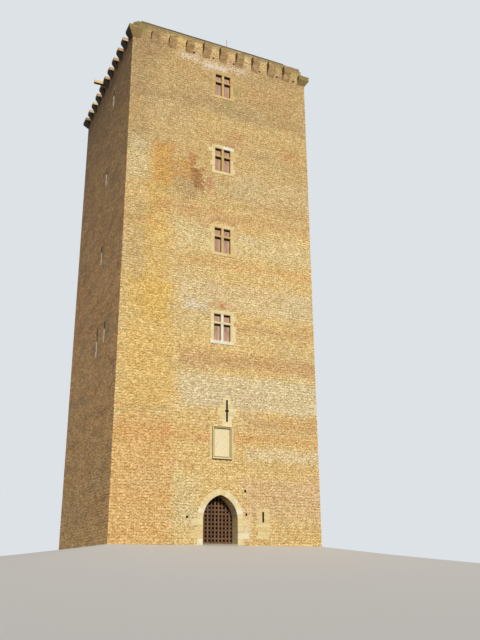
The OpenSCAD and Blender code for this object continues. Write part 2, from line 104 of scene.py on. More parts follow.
# %% [markdown]
# ## Colours, nodes and objects
# Colours are written as the sRGB codes that a paint chart gives, and Blender's nodes want linear light, so
# one function turns them. Others feed a node's sockets, add a node, start a finish and make an object.

# %% Helpers that every finish and piece uses


def linear(code):
    """sRGB code to linear light: c / 12.92 up to 0.04045, and ((c + 0.055) / 1.055) ** 2.4 above it."""
    c = np.array([int(code[i : i + 2], 16) for i in (1, 3, 5)]) / 255
    bright = np.where(c <= 0.04045, c / 12.92, ((c + 0.055) / 1.055) ** 2.4)
    return [float(v) for v in bright] + [1.0]


def plug(node, feeds):
    """Feeds the sockets of a node, by name or number, with a value, an output, or a node for its first
    output."""
    for name, value in feeds.items():
        if isinstance(value, bpy.types.Node):
            value = next(out for out in value.outputs if out.enabled)
        if isinstance(value, bpy.types.NodeSocket):
            node.id_data.links.new(value, node.inputs[name])
        else:
            node.inputs[name].default_value = value


def add(tree, kind, feeds=None, stops=(), **settings):
    """Adds a node. settings are its properties, and stops are the shades of a ramp as (place, code)."""
    made = tree.nodes.new("ShaderNode" + kind)
    for name, value in settings.items():
        setattr(made, name, value)
    for i, (place, code) in enumerate(stops):
        spare = made.color_ramp.elements
        stop = spare[i] if i < len(spare) else spare.new(place)
        stop.position = place
        stop.color = linear(code)
    plug(made, feeds or {})
    return made


def along_axes(tree, what):
    """The parts along x, y and z of the Object coordinates or of the Normal."""
    return add(tree, "SeparateXYZ", {0: add(tree, "TexCoord").outputs[what]}).outputs


def new_finish(name, roughness, ior=1.5):
    """A material with one Principled shader, and its object coordinates."""
    finish = bpy.data.materials.new(name)
    finish.use_nodes = True
    tree = finish.node_tree
    tree.nodes.clear()
    shader = add(tree, "BsdfPrincipled", {"Roughness": roughness, "IOR": ior})
    add(tree, "OutputMaterial", {"Surface": shader})
    return finish, tree, shader, add(tree, "TexCoord").outputs["Object"]


def surfaced(tree, shader, colour, height, strength, depth, rough_by=None, rough=None):
    """Gives the shader its colour and a bump of a height times a depth in metres. The roughness goes
    through the two numbers of rough as rough_by goes from 0 to 1."""
    bump = add(tree, "Bump", {"Height": height, "Strength": strength, "Distance": depth})
    plug(shader, {"Base Color": colour, "Normal": bump})
    if rough:
        spread = add(tree, "MapRange", {"Value": rough_by, "To Min": rough[0], "To Max": rough[1]})
        plug(shader, {"Roughness": spread})


def new_object(name, points, faces, finish):
    """An object whose mesh has these points and faces and one finish."""
    mesh = bpy.data.meshes.new(name)
    mesh.from_pydata(points.tolist(), [], faces)
    mesh.materials.append(finish)
    made = bpy.data.objects.new(name, mesh)
    bpy.context.scene.collection.objects.link(made)
    return made


print("clear white is", linear("#ffffff"))

# %% [markdown]
# ## Light, floor and background
# The sun stood low before the front and 5 degrees to its left, so the front is evenly bright, the left side
# gets only grazing light, and heads and sills throw short shadows. One soft sun gives that, with an even
# pale world as fill. Together they light a sunlit wall at about 1, so that a colour renders about as it is
# written. The background is pale for the camera and for reflections alone.

# %% One soft sun and an even world
SUN_HEIGHT, SUN_TO_RIGHT = math.radians(21), math.radians(-5)
sun = bpy.data.lights.new("low_sun", "SUN")
sun.energy = 2.55
sun.color = (1.0, 0.975, 0.94)
sun.angle = math.radians(2.0)
sun_lamp = bpy.data.objects.new("low_sun", sun)
towards_sun = np.array([
    math.sin(SUN_TO_RIGHT) * math.cos(SUN_HEIGHT),
    -math.cos(SUN_TO_RIGHT) * math.cos(SUN_HEIGHT),
    math.sin(SUN_HEIGHT),
])
side = np.cross([0.0, 0.0, 1.0], towards_sun)
side /= np.linalg.norm(side)
sun_axes = np.column_stack([side, np.cross(towards_sun, side), towards_sun])
sun_lamp.matrix_world = Matrix(sun_axes.tolist()).to_4x4()
bpy.context.scene.collection.objects.link(sun_lamp)


def seen_directly(tree):
    """1 for a ray from the camera, a mirror or glass, and 0 for light that bounces on."""
    ray = add(tree, "LightPath").outputs
    seen = add(tree, "Math", {0: ray["Is Camera Ray"], 1: ray["Is Glossy Ray"]}, operation="MAXIMUM")
    return add(tree, "Math", {0: seen, 1: ray["Is Transmission Ray"]}, operation="MAXIMUM")


world = bpy.data.worlds.new("studio")
bpy.context.scene.world = world
world.use_nodes = True
sky = world.node_tree
sky.nodes.clear()
fill = add(sky, "Background", {"Color": (0.98, 0.95, 1.0, 1.0), "Strength": 0.37})
backdrop = add(sky, "Background", {"Color": linear("#dde2e6"), "Strength": 1.0})
either = add(sky, "MixShader", {0: seen_directly(sky), 1: fill, 2: backdrop})
add(sky, "OutputWorld", {"Surface": either})
bpy.context.scene.view_settings.view_transform = "Standard"
print("sun from", tuple(round(float(v), 2) for v in towards_sun))

# %% [markdown]
# The photographer stood below the foot of the keep, and a flat floor there would hide the doorway. So the
# floor falls away by 4.6 * (1 - exp(-d / 35)) metres at a distance d from the walls. A pale floor would
# light the walls from below, so it is pale to the camera and dark to light that bounces on.

# %% A pale floor that falls away from the walls
FLOOR_DROP, FLOOR_SPREAD = 4.6, 35
steps_out = np.concatenate([[0.0], np.geomspace(0.4, 260.0, 60)])
x_lines = np.concatenate([-half_w - steps_out[::-1], half_w + steps_out])
y_lines = np.concatenate([front_y - steps_out[::-1], back_y + steps_out])
x_grid, y_grid = np.meshgrid(x_lines, y_lines, indexing="ij")
beyond_x = np.maximum(np.abs(x_grid) - half_w, 0)
beyond_y = np.maximum(np.maximum(front_y - y_grid, y_grid - back_y), 0)
fall = FLOOR_DROP * (1 - np.exp(-np.hypot(beyond_x, beyond_y) / FLOOR_SPREAD))
corners = np.stack([x_grid, y_grid, -fall], axis=-1).reshape(-1, 3)
n_x, n_y = x_grid.shape
first = (np.arange(n_x - 1)[:, None] * n_y + np.arange(n_y - 1)).ravel()
tiles = np.stack([first, first + n_y, first + n_y + 1, first + 1], axis=1)

painted, tree, shader, place = new_finish("pale_studio_floor", 0.9, 1.45)
dark_ground = add(tree, "BsdfDiffuse", {"Color": linear("#6b6a60")})
both = add(tree, "MixShader", {0: seen_directly(tree), 1: dark_ground, 2: shader})
plug(shader, {"Base Color": linear("#d6d5cf")})
plug(tree.nodes["Material Output"], {"Surface": both})
floor = new_object("studio_floor", corners, tiles.tolist(), painted)
floor.data.shade_smooth()
print("floor of", len(tiles), "tiles, lowest", round(-float(fall.max()), 2), "m")

# %% [markdown]
# ## Ageing that every wall shares
# Old masonry is never one colour. Clouds of another shade lie over it where clay, lime or damp changed, and
# patches sit where a lift of the scaffold used other bricks, where water ran or where lime was spilt. Both
# are layers that mix a new shade over the one below: a cloud where noise is high, a patch inside a
# rectangle whose edge the same noise frays.

# %% Clouds and patches


def clouded(tree, under, place, code, spread, between, amount, shift):
    """Mixes a shade over another: the share rises from 0 to amount as noise goes through between. spread is
    the size of a cloud in metres along x, y and z, and shift moves the noise so that no two layers
    match."""
    moved = add(tree, "Mapping", {
        "Vector": place, "Location": (shift,) * 3, "Scale": [1 / s for s in spread]})
    noise = add(tree, "TexNoise", {"Vector": moved, "Scale": 1.0, "Detail": 3.0, "Roughness": 0.6})
    share = add(tree, "MapRange", {
        "Value": noise, "From Min": between[0], "From Max": between[1], "To Max": amount})
    return add(tree, "Mix", {0: share, 6: under, 7: linear(code)}, data_type="RGBA")


def fraying(tree, place, spread):
    """Noise whose lumps are spread metres long along x, y and z. Flat lumps fray an edge along the
    courses."""
    sized = add(tree, "Mapping", {"Vector": place, "Scale": [1 / s for s in spread]})
    return add(tree, "TexNoise", {"Vector": sized, "Scale": 1.0, "Detail": 4.0, "Roughness": 0.65})


def patched(tree, under, place, fray, soft, code, middle, reach, amount, ragged):
    """Mixes a shade in over a rectangle of the wall. With d the distance outside it in metres, the share
    falls from amount to 0 as d plus ragged * (fray - 0.5) goes from -soft to soft. middle and reach are
    (along x, up)."""
    off = add(tree, "VectorMath", {0: place, 1: (middle[0], 0, middle[1])}, operation="SUBTRACT")
    off = add(tree, "VectorMath", {0: off}, operation="ABSOLUTE")
    off = add(tree, "VectorMath", {0: off, 1: (reach[0], 0, reach[1])}, operation="SUBTRACT")
    beyond = add(tree, "SeparateXYZ", {0: off}).outputs
    outside = add(tree, "Math", {0: beyond[0], 1: beyond[2]}, operation="MAXIMUM")
    edge = add(tree, "Math", {0: fray, 1: ragged, 2: outside}, operation="MULTIPLY_ADD")
    share = add(tree, "MapRange", {
        "Value": edge, "From Min": ragged / 2 + soft, "From Max": ragged / 2 - soft, "To Max": amount})
    return add(tree, "Mix", {0: share, 6: under, 7: linear(code)}, data_type="RGBA")


print("layers: clouded, patched")

# %% [markdown]
# ## Brick
# The bricks are wood-fired and handmade, flat and 280 mm long, in courses 90 mm high with pale lime joints.
# Each brick has its own shade, and grit, chips and lime cover it all. At the head of the keep a course is
# just a pixel of the photograph, so the joints are drawn 30 mm wide and the chips 70 mm, as coarse as they
# need to show, and every other course is a little darker. On the sides, which are seen at a slant, a chip
# is as long as a brick. The pattern runs along x + y, because on each wall one of the two stays the same,
# and the courses rise and fall by about 20 mm, as laid by eye.
#
# A dark brick is brown and full of colour, and a pale one is nearly lime. So one number says how pale each
# point is, and it picks a factor between a dark, strong one and a pale, weak one, in steps that look even
# to the eye, which the power of 2.2 turns to light. The factor multiplies the colour of the wall at its
# place, so that the clouds and patches below change the wall without washing its bricks out.

# %% The bond
COURSE_H, BRICK_L, JOINT = 0.09, 0.28, 0.03
CHIPS_PER_METRE = (14.0, 4.0, 22.0)
DARK_BRICK, PALE_BRICK = (0.62, 0.55, 0.29, 1), (1.17, 1.25, 1.52, 1)


def bond(tree, place):
    """The shade number of each brick, the share of joint at each point, and 1 on every other course."""
    axes = add(tree, "SeparateXYZ", {0: place}).outputs
    along = add(tree, "Math", {0: axes[0], 1: axes[1]}, operation="ADD")
    sag = add(tree, "TexNoise", {"Vector": place, "Scale": 0.35, "Detail": 1.0})
    lift = add(tree, "Math", {0: sag, 1: 0.08, 2: axes[2]}, operation="MULTIPLY_ADD")
    upright = add(tree, "CombineXYZ", {0: along, 1: lift})
    lying = add(tree, "Math", {0: along_axes(tree, "Normal")[2], 1: 0.7}, operation="GREATER_THAN")
    course = add(tree, "Mix", {0: lying, 4: upright, 5: place}, data_type="VECTOR")
    laid = add(tree, "TexBrick", {
        "Vector": course, "Color1": (0, 0, 0, 1), "Color2": (1, 1, 1, 1), "Mortar": (0.5, 0.5, 0.5, 1),
        "Scale": 1.0, "Mortar Size": JOINT / 2, "Mortar Smooth": 0.3, "Brick Width": BRICK_L,
        "Row Height": COURSE_H,
    }).outputs
    row = add(tree, "Math", {0: lift, 1: 2 * COURSE_H}, operation="FLOORED_MODULO")
    return laid["Color"], laid["Fac"], add(tree, "Math", {0: row, 1: COURSE_H}, operation="LESS_THAN")


def bricked(tree, wall, place):
    """The wall's colour times a factor, and the share of joint. The factor's number is 0.8 chip + 0.2 brick
    - 0.12 on odd courses, and the joints draw it towards 1."""
    brick, joint, odd = bond(tree, place)
    sized = add(tree, "Mapping", {"Vector": place, "Scale": CHIPS_PER_METRE})
    chip = add(tree, "TexVoronoi", {"Vector": sized, "Scale": 1.0}, feature="F1")
    chip = add(tree, "SeparateColor", {0: chip.outputs["Color"]})
    number = add(tree, "Math", {0: chip, 1: 0.8}, operation="MULTIPLY")
    number = add(tree, "Math", {0: brick, 1: 0.2, 2: number}, operation="MULTIPLY_ADD")
    number = add(tree, "Math", {0: odd, 1: -0.12, 2: number}, operation="MULTIPLY_ADD")
    share = add(tree, "Math", {0: joint, 1: 0.5}, operation="MULTIPLY")
    number = add(tree, "Mix", {0: share, 2: number, 3: 1.0})
    factor = add(tree, "Mix", {0: number, 6: DARK_BRICK, 7: PALE_BRICK}, data_type="RGBA")
    factor = add(tree, "Gamma", {0: factor, 1: 2.2})
    return add(tree, "VectorMath", {0: wall, 1: factor}, operation="MULTIPLY"), joint


print("courses of", round(1000 * COURSE_H), "mm, bricks of", round(1000 * BRICK_L), "mm")

# %% [markdown]
# One finish covers all the walls, so that no seam shows where two of them meet. Clouds lie on every side.
# The front has its own history on top. A mask picks its face, and the patches name the lifts in which it
# was built, from the golden strip at its left to the ashen and rusty bands at its right, and the repairs.
# What ran down or grew since, lime and lichen, lies over the bricks and their joints.

# %% The history of the walls
GOLD, OCHRE, RUST, ORANGE = "#f0bd4e", "#d79a45", "#d09a62", "#ecac60"
ASHEN, STRAW, PINK, DUSK = "#ecddb0", "#ebd79a", "#e6bb92", "#b08e5c"
LIME, LEAF_LICHEN = "#f0e0cc", "#a3985a"
# Each cloud: shade, size along x, y and z, noise between which it comes, how much of it, shift of the noise
WALL_CLOUDS = [
    ("#dda35c", (9.0, 9.0, 1.4), (0.5, 0.72), 0.35, 0.0),
    ("#dccb93", (7.0, 7.0, 2.2), (0.48, 0.7), 0.35, 11.0),
    ("#d29468", (3.2, 3.2, 1.1), (0.56, 0.74), 0.3, 23.0),
    ("#c4ae78", (5.0, 5.0, 2.6), (0.55, 0.75), 0.3, 37.0),
    ("#df9560", (0.9, 0.9, 0.3), (0.55, 0.72), 0.3, 51.0),
    ("#c9b47c", (0.7, 0.7, 0.4), (0.55, 0.72), 0.35, 67.0),
]
# Each patch: shade, middle and reach along x and up, how much of it, how ragged in metres
LIFTS = [
    (DUSK, (0.0, 27.6), (7.4, 4.4), 0.26, 3.4),
    (DUSK, (0.0, 33.6), (7.4, 2.6), 0.45, 3.0),
    (DUSK, (-2.8, 24.5), (0.8, 0.8), 0.45, 2.0),
    (RUST, (3.8, 33.4), (1.8, 0.9), 0.3, 1.6),
    (DUSK, (-6.9, 30.8), (1.2, 4.4), 0.4, 2.4),
    (DUSK, (-6.6, 19.5), (1.1, 3.0), 0.3, 2.0),
    (GOLD, (-4.8, 20.5), (0.9, 6.6), 0.35, 2.2),
    (GOLD, (-5.1, 12.6), (1.6, 4.4), 0.3, 2.4),
    (OCHRE, (-4.5, 25.9), (0.75, 1.7), 0.5, 1.6),
    (STRAW, (-6.3, 25.9), (0.8, 1.6), 0.45, 1.2),
    (ASHEN, (2.4, 9.7), (5.4, 1.1), 0.5, 1.4),
    (RUST, (2.4, 11.9), (5.4, 0.5), 0.55, 1.2),
    (RUST, (4.0, 14.3), (3.4, 0.25), 0.5, 0.9),
    (ASHEN, (2.2, 16.4), (5.4, 1.0), 0.28, 2.0),
    (ORANGE, (2.0, 18.8), (5.4, 0.35), 0.35, 0.9),
    (STRAW, (2.2, 20.6), (5.6, 0.9), 0.4, 1.8),
    (RUST, (1.0, 22.6), (6.0, 0.4), 0.4, 1.6),
    (ASHEN, (4.2, 25.2), (3.4, 1.1), 0.15, 2.4),
    (RUST, (4.6, 7.7), (2.8, 0.35), 0.45, 1.2),
    (ORANGE, (0.0, 6.75), (7.4, 0.22), 0.6, 0.7),
    (ASHEN, (4.6, 5.7), (2.8, 0.4), 0.4, 1.2),
    (PINK, (4.4, 2.9), (2.9, 1.3), 0.35, 1.6),
    (STRAW, (-2.4, 2.6), (0.8, 1.5), 0.4, 1.2),
    (ORANGE, (-5.4, 3.6), (2.0, 4.0), 0.4, 2.2),
    (DUSK, (-6.3, 36.4), (2.0, 1.6), 0.5, 1.6),
    (PINK, (0.2, 36.15), (2.9, 0.45), 0.3, 0.9),
    (DUSK, (5.6, 36.3), (1.6, 0.8), 0.35, 1.2),
    (DUSK, (-6.2, 35.2), (1.2, 1.8), 0.3, 1.6),
    ("#c4b084", (-4.2, 30.2), (1.9, 0.9), 0.2, 1.8),
    ("#dc9a5c", (5.7, 28.7), (0.8, 0.4), 0.45, 1.4),
    (RUST, (1.2, 29.3), (0.5, 0.5), 0.5, 1.0),
]
REPAIRS = [
    (OCHRE, (-3.0, 25.7), (0.7, 0.7), 0.5, 1.6),
    ("#a86430", (-1.95, 25.2), (0.4, 0.75), 0.7, 2.2),
    ("#c07a42", (-2.3, 26.6), (0.3, 0.5), 0.6, 1.4),
    ("#e2996a", (-0.9, 24.9), (0.25, 0.7), 0.5, 1.4),
    ("#e08a50", (0.0, 15.7), (0.2, 0.15), 0.8, 0.4),
    ("#f0dcb4", (-1.9, 15.6), (0.9, 0.4), 0.5, 1.2),
    ("#c08a44", (0.1, 25.7), (0.08, 0.5), 0.6, 0.3),
]
LIME_RUNS = [
    (LIME, (-2.7, 35.4), (0.6, 0.1), 0.85, 2.8),
    (LIME, (-0.6, 35.15), (0.9, 0.2), 0.85, 2.8),
    (LIME, (1.2, 35.4), (0.7, 0.05), 0.8, 2.8),
    ("#f2e0b8", (1.75, 0.95), (0.22, 0.55), 0.75, 1.0),
]
LICHEN = [
    (LEAF_LICHEN, (1.05, 33.35), (0.3, 0.35), 0.6, 0.6),
    (LEAF_LICHEN, (0.55, 32.1), (0.35, 0.3), 0.5, 0.6),
    ("#8f8a4c", (-6.5, 36.8), (0.5, 0.45), 0.6, 0.9),
    ("#9a9448", (5.9, 36.9), (0.9, 0.3), 0.55, 0.7),
    ("#74684a", (0.0, 37.2), (7.2, 0.3), 0.6, 0.5),
]
# The sides lie in shade, and they grow darker towards the head, partly painted shade and partly dirt:
# factors from the foot to the head
SIDE_FACTORS = [(0.0, "#ffffff"), (0.5, "#e8dfde"), (0.82, "#c0bcb6"), (0.96, "#9a948c"), (1.0, "#8a847c")]
SIDE_WARMTH = (1.38, 1.25, 1.24)
SIDE_MOTTLES = [
    ("#6c5540", (2.4, 2.4, 1.0), (0.46, 0.7), 0.4, 5.0),
    ("#e0b488", (1.4, 1.4, 0.6), (0.52, 0.7), 0.4, 17.0),
    ("#5a4836", (1.0, 1.0, 0.12), (0.54, 0.7), 0.35, 29.0),
]
FACE_SKIN = 0.004
walls, tree, shader, place = new_finish("golden_handmade_brick", 0.9)
spot = along_axes(tree, "Object")
across = add(tree, "Math", {0: spot[0]}, operation="ABSOLUTE")
through = add(tree, "Math", {0: spot[1]}, operation="ABSOLUTE")
colour = linear("#f2cc7e")
for cloud in WALL_CLOUDS:
    colour = clouded(tree, colour, place, *cloud)
courses = fraying(tree, place, (2.2, 2.2, 0.22))
lumps = fraying(tree, place, (0.4, 0.4, 0.3))
flecks = fraying(tree, place, (0.2, 0.2, 0.12))
face_colour = colour
for patches, fray, soft in ((LIFTS, courses, 0.3), (REPAIRS, lumps, 0.08)):
    for patch in patches:
        face_colour = patched(tree, face_colour, place, fray, soft, *patch)
on_front = add(tree, "Math", {0: spot[1], 1: front_y + FACE_SKIN}, operation="LESS_THAN")
colour = add(tree, "Mix", {0: on_front, 6: colour, 7: face_colour}, data_type="RGBA")
side_colour = colour
for cloud in SIDE_MOTTLES:
    side_colour = clouded(tree, side_colour, place, *cloud)
up_share = add(tree, "Math", {0: spot[2], 1: wall_top}, operation="DIVIDE")
darker_to_head = add(tree, "ValToRGB", {0: up_share}, stops=SIDE_FACTORS)
side_colour = add(tree, "Mix", {0: 1.0, 6: side_colour, 7: darker_to_head}, data_type="RGBA", blend_type="MULTIPLY")
side_colour = add(tree, "VectorMath", {0: side_colour, 1: SIDE_WARMTH}, operation="MULTIPLY")
beside = add(tree, "Math", {0: across, 1: half_w - FACE_SKIN}, operation="GREATER_THAN")
colour = add(tree, "Mix", {0: beside, 6: colour, 7: side_colour}, data_type="RGBA")
colour, joint = bricked(tree, colour, place)
stained = colour
for patches, fray, soft in ((LIME_RUNS, flecks, 0.2), (LICHEN, lumps, 0.15)):
    for patch in patches:
        stained = patched(tree, stained, place, fray, soft, *patch)
colour = add(tree, "Mix", {0: on_front, 6: colour, 7: stained}, data_type="RGBA")
# Sides of the small holes in the front and the back, from 0.02 to 0.88 m deep: painted black, a painted shade
painted_hole_shade = add(tree, "Math", {0: through, 1: -front_y - 0.45, 2: 0.43}, operation="COMPARE")
low_down = add(tree, "Math", {0: spot[2], 1: wall_top - 0.05}, operation="LESS_THAN")
within = add(tree, "Math", {0: across, 1: half_w - 0.02}, operation="LESS_THAN")
for limit in (low_down, within):
    painted_hole_shade = add(tree, "Math", {0: painted_hole_shade, 1: limit}, operation="MULTIPLY")
colour = add(tree, "Mix", {0: painted_hole_shade, 6: colour, 7: linear("#0c0906")}, data_type="RGBA")
# The joints lie about 7 mm behind the bricks, and grit of 20 mm covers both
grit = add(tree, "TexNoise", {"Vector": place, "Scale": 45.0, "Detail": 3.0, "Roughness": 0.6})
relief = add(tree, "Math", {0: joint, 1: -1.0, 2: grit}, operation="MULTIPLY_ADD")
surfaced(tree, shader, colour, relief, 0.6, 0.012, grit, (0.82, 0.97))
print("wall finish with", len(tree.nodes), "nodes")

# %% [markdown]
# ## Limestone
# The dressings are a soft cream limestone, cut with a broad chisel. Each stone came from its own bed, so
# its shade differs from its neighbour's. A number called tone, kept on the mesh for each stone, picks the
# shade. Over it lie grey lichen and warm iron stains, and pores of about 8 mm give the surface its bite.
# Faces that look down, and on some finishes faces that look sideways, get a painted shade.

# %% Limestone


def limestone(name, shades, clouds, pores=0.008, painted_shade_faces=((2, -1, 0.85),), shade_code="#2e2216", turn=(0.75, 0.92)):
    """Cut stone whose shade comes from the tone of each block, from -2, near black, to 1, white, with 0 where
    a mesh has none. Faces that look down or sideways can get a painted shade of a dark colour: each entry is
    (axis, way, amount) of the normal, with way 0 for both ways, and the painted shade grows from nothing to
    amount as that part goes through turn."""
    finish, tree, shader, place = new_finish(name, 0.85)
    tone = add(tree, "Attribute", attribute_name="tone").outputs["Fac"]
    pick = add(tree, "MapRange", {"Value": tone, "From Min": -2.0, "From Max": 1.0})
    colour = add(tree, "ValToRGB", {0: pick}, stops=shades)
    for cloud in clouds:
        colour = clouded(tree, colour, place, *cloud)
    worn = add(tree, "TexNoise", {"Vector": place, "Scale": 14.0, "Detail": 5.0, "Roughness": 0.65})
    bite = add(tree, "MapRange", {
        "Value": worn, "From Min": 0.3, "From Max": 0.7, "To Min": 0.82, "To Max": 1.14})
    colour = add(tree, "VectorMath", {0: colour, "Scale": bite}, operation="SCALE")
    normal = along_axes(tree, "Normal")
    # Painted shade: faces that look down or sideways are mixed towards a dark colour
    for axis, way, amount in painted_shade_faces:
        operation = "MULTIPLY" if way else "ABSOLUTE"
        facing = add(tree, "Math", {0: normal[axis], 1: way or 0.5}, operation=operation)
        shade_share = add(tree, "MapRange", {
            "Value": facing, "From Min": turn[0], "From Max": turn[1], "To Max": amount})
        colour = add(tree, "Mix", {0: shade_share, 6: colour, 7: linear(shade_code)}, data_type="RGBA")
    pored = add(tree, "TexVoronoi", {"Vector": place, "Scale": 1 / pores}, feature="F1")
    height = add(tree, "Math", {0: pored, 1: 0.35, 2: worn}, operation="MULTIPLY_ADD")
    surfaced(tree, shader, colour, height, 0.45, 0.008, worn, (0.72, 0.95))
    return finish


# The first stop, near black at tone -2, gives the painted shadow in the side slits
CREAM = [(0.0, "#3f2c1c"), (0.33, "#c39c5c"), (0.5, "#d6b46c"), (0.67, "#e6cb8b"), (0.83, "#f1dfa9"),
         (1.0, "#fbf3dc")]
STONE_CLOUDS = [
    ("#b9ab78", (0.8, 0.8, 0.6), (0.52, 0.72), 0.4, 2.0),
    ("#d8ae70", (0.5, 0.5, 0.35), (0.56, 0.74), 0.35, 13.0),
    ("#f6ebcc", (0.25, 0.25, 0.12), (0.5, 0.7), 0.35, 31.0),
]
# Dark colour, its share, and the height under which the corbels beside the walls get painted shade and shadow
PAINTED_SHADE_DARK, PAINTED_SHADE_SHARE, PAINTED_SHADOW_LEVEL = "#1c140c", 0.93, 36.24
# Painted shade: every limestone finish darkens its faces that look down. The window and slit stones also
# darken their reveals, and the panel's moulding its faces that look left.
cream_stone = limestone("cream_cut_limestone", CREAM, STONE_CLOUDS)
window_stone = limestone("cream_window_limestone", CREAM, STONE_CLOUDS, painted_shade_faces=((2, -1, 0.9), (0, 0, 0.45)))
slit_stone = limestone("cream_slit_limestone", CREAM, STONE_CLOUDS, painted_shade_faces=((2, -1, 0.9), (0, 0, 0.9)))
moulded_stone = limestone(
    "pale_moulded_limestone", [(0.0, "#8d8060"), (0.67, "#e4d29c"), (1.0, "#ead9a8")], STONE_CLOUDS[:2],
    painted_shade_faces=((2, -1, 0.95), (0, -1, 0.4)), turn=(0.5, 0.7))
slab_stone = limestone("pale_panel_limestone", [(0.0, "#4a3a26"), (0.67, "#f2e2b2"), (1.0, "#f6ebca")], [
    ("#e3cf98", (0.5, 0.5, 0.8), (0.5, 0.7), 0.5, 4.0), ("#f8efd2", (0.3, 0.3, 0.5), (0.5, 0.7), 0.4, 8.0)])
# The coping stones are dark all over
coping_stone = limestone(
    "dark_coping_stone", [(0.33, "#55493a"), (0.67, "#75664c"), (1.0, "#96865f")],
    [("#55503a", (0.6, 0.6, 0.3), (0.45, 0.65), 0.6, 6.0)])
core_mortar = limestone(
    "weathered_core_mortar", [(0.0, "#8b7a58"), (0.67, "#c3ab78"), (1.0, "#d6c08c")],
    [("#8d8052", (0.5, 0.5, 0.3), (0.5, 0.68), 0.5, 9.0)])
paving_stone = limestone(
    "worn_paving", [(0.33, "#8f8266"), (0.67, "#a6997c"), (1.0, "#bfb192")],
    [("#8a7f63", (0.5, 0.5, 0.5), (0.5, 0.7), 0.4, 15.0)], pores=0.012)
# The passage vault and its floor are near black, a painted shade of the passage inside the doorway
passage_shade_stone = limestone(
    "painted_shade_passage_stone", [(0.33, "#1f1a15"), (0.67, "#2b241d"), (1.0, "#3a3026")],
    [("#171310", (0.8, 0.8, 0.6), (0.45, 0.65), 0.6, 21.0)])

# The corbels' bricks weather like stone, and their own shades pick the brown. The front corbels' faces that
# look left and the side corbels' undersides get a painted shade.
CORBEL_SHADES = [(0.0, "#6f5236"), (0.4, "#8c6c40"), (0.5, "#9c7a4a"), (0.83, "#d2a670"), (1.0, "#e8cb9c")]
# The side corbels' paler shades are a painted highlight on their sunlit tops
PAINTED_HIGHLIGHT_SHADES = [(0.0, "#6f5236"), (0.4, "#b8915f"), (0.5, "#cba774"), (0.83, "#e6cba0"), (1.0, "#f0dcb8")]
CORBEL_CLOUDS = [
    ("#8c8048", (0.8, 0.8, 0.3), (0.46, 0.64), 0.5, 7.0),
    ("#c98a58", (0.5, 0.5, 0.2), (0.54, 0.7), 0.45, 19.0),
    ("#e6d3a2", (0.12, 0.12, 0.07), (0.52, 0.66), 0.5, 27.0),
    ("#8a6a40", (0.1, 0.1, 0.06), (0.55, 0.7), 0.5, 41.0),
]
# Painted shade on the faces that look left
corbel_brick = limestone(
    "lichened_and_shaded_corbel_brick", CORBEL_SHADES, CORBEL_CLOUDS, painted_shade_faces=((0, -1, 0.8),), shade_code="#4a3820")
arch_brick = limestone("golden_arch_brick", CORBEL_SHADES, CORBEL_CLOUDS[1:])
# Side corbels: painted highlight in their pale shades, painted shade on their undersides
side_brick = limestone(
    "painted_light_and_shade_corbel_brick", PAINTED_HIGHLIGHT_SHADES, CORBEL_CLOUDS[1:], painted_shade_faces=((2, -1, 0.95),), shade_code=PAINTED_SHADE_DARK)


def shown(finish):
    """The tree of a finish, its shader, and the colour that feeds it now."""
    tree = finish.node_tree
    shader = tree.nodes["Principled BSDF"]
    return tree, shader, shader.inputs["Base Color"].links[0].from_socket


def mossy_corners(finish, code):
    """Moss on the corner corbels: the share grows from 0 to 0.4 over 0.2 m beside them."""
    tree, shader, under = shown(finish)
    across = add(tree, "Math", {0: along_axes(tree, "Object")[0]}, operation="ABSOLUTE")
    share = add(tree, "MapRange", {
        "Value": across, "From Min": half_w - 0.8, "From Max": half_w - 0.6, "To Max": 0.4})
    moss = add(tree, "Mix", {0: share, 6: under, 7: linear(code)}, data_type="RGBA")
    plug(shader, {"Base Color": moss})


def painted_shade_sides(finish, level):
    """Paints shade on what stands out of the left and right walls: on its faces that look sideways, and on
    what lies under a level behind the front wall's plane, a painted shadow of the corbel in front of it."""
    tree, shader, under = shown(finish)
    spot = along_axes(tree, "Object")
    across = add(tree, "Math", {0: spot[0]}, operation="ABSOLUTE")
    through = add(tree, "Math", {0: spot[1]}, operation="ABSOLUTE")
    sideways = add(tree, "Math", {0: along_axes(tree, "Normal")[0]}, operation="ABSOLUTE")
    outside = add(tree, "Math", {0: across, 1: half_w + 0.02}, operation="GREATER_THAN")
    turned = add(tree, "Math", {0: sideways, 1: 0.75}, operation="GREATER_THAN")
    behind = add(tree, "Math", {0: through, 1: -front_y - 0.02}, operation="LESS_THAN")
    low = add(tree, "MapRange", {"Value": spot[2], "From Min": level + 0.05, "From Max": level - 0.05})
    low = add(tree, "Math", {0: low, 1: behind}, operation="MULTIPLY")
    share = add(tree, "Math", {0: low, 1: turned}, operation="MAXIMUM")
    for factor in (outside, PAINTED_SHADE_SHARE):
        share = add(tree, "Math", {0: share, 1: factor}, operation="MULTIPLY")
    shaded_colour = add(tree, "Mix", {0: share, 6: under, 7: linear(PAINTED_SHADE_DARK)}, data_type="RGBA")
    plug(shader, {"Base Color": shaded_colour})


mossy_corners(corbel_brick, "#8f874e")
for finish in (corbel_brick, side_brick):
    painted_shade_sides(finish, PAINTED_SHADOW_LEVEL)
print("stone and corbel finishes ready")

# %% [markdown]
# ## Timber
# The shutters are painted softwood boards, faded to a pinkish brown. The gate is oak, brown from tar and
# weather. Grain runs along each board: noise stretched 25 times longer along it than across gives streaks
# 12 to 20 mm wide with finer ones in them, and the tone of each board moves the noise so that no two boards
# share it.

# %% Timber


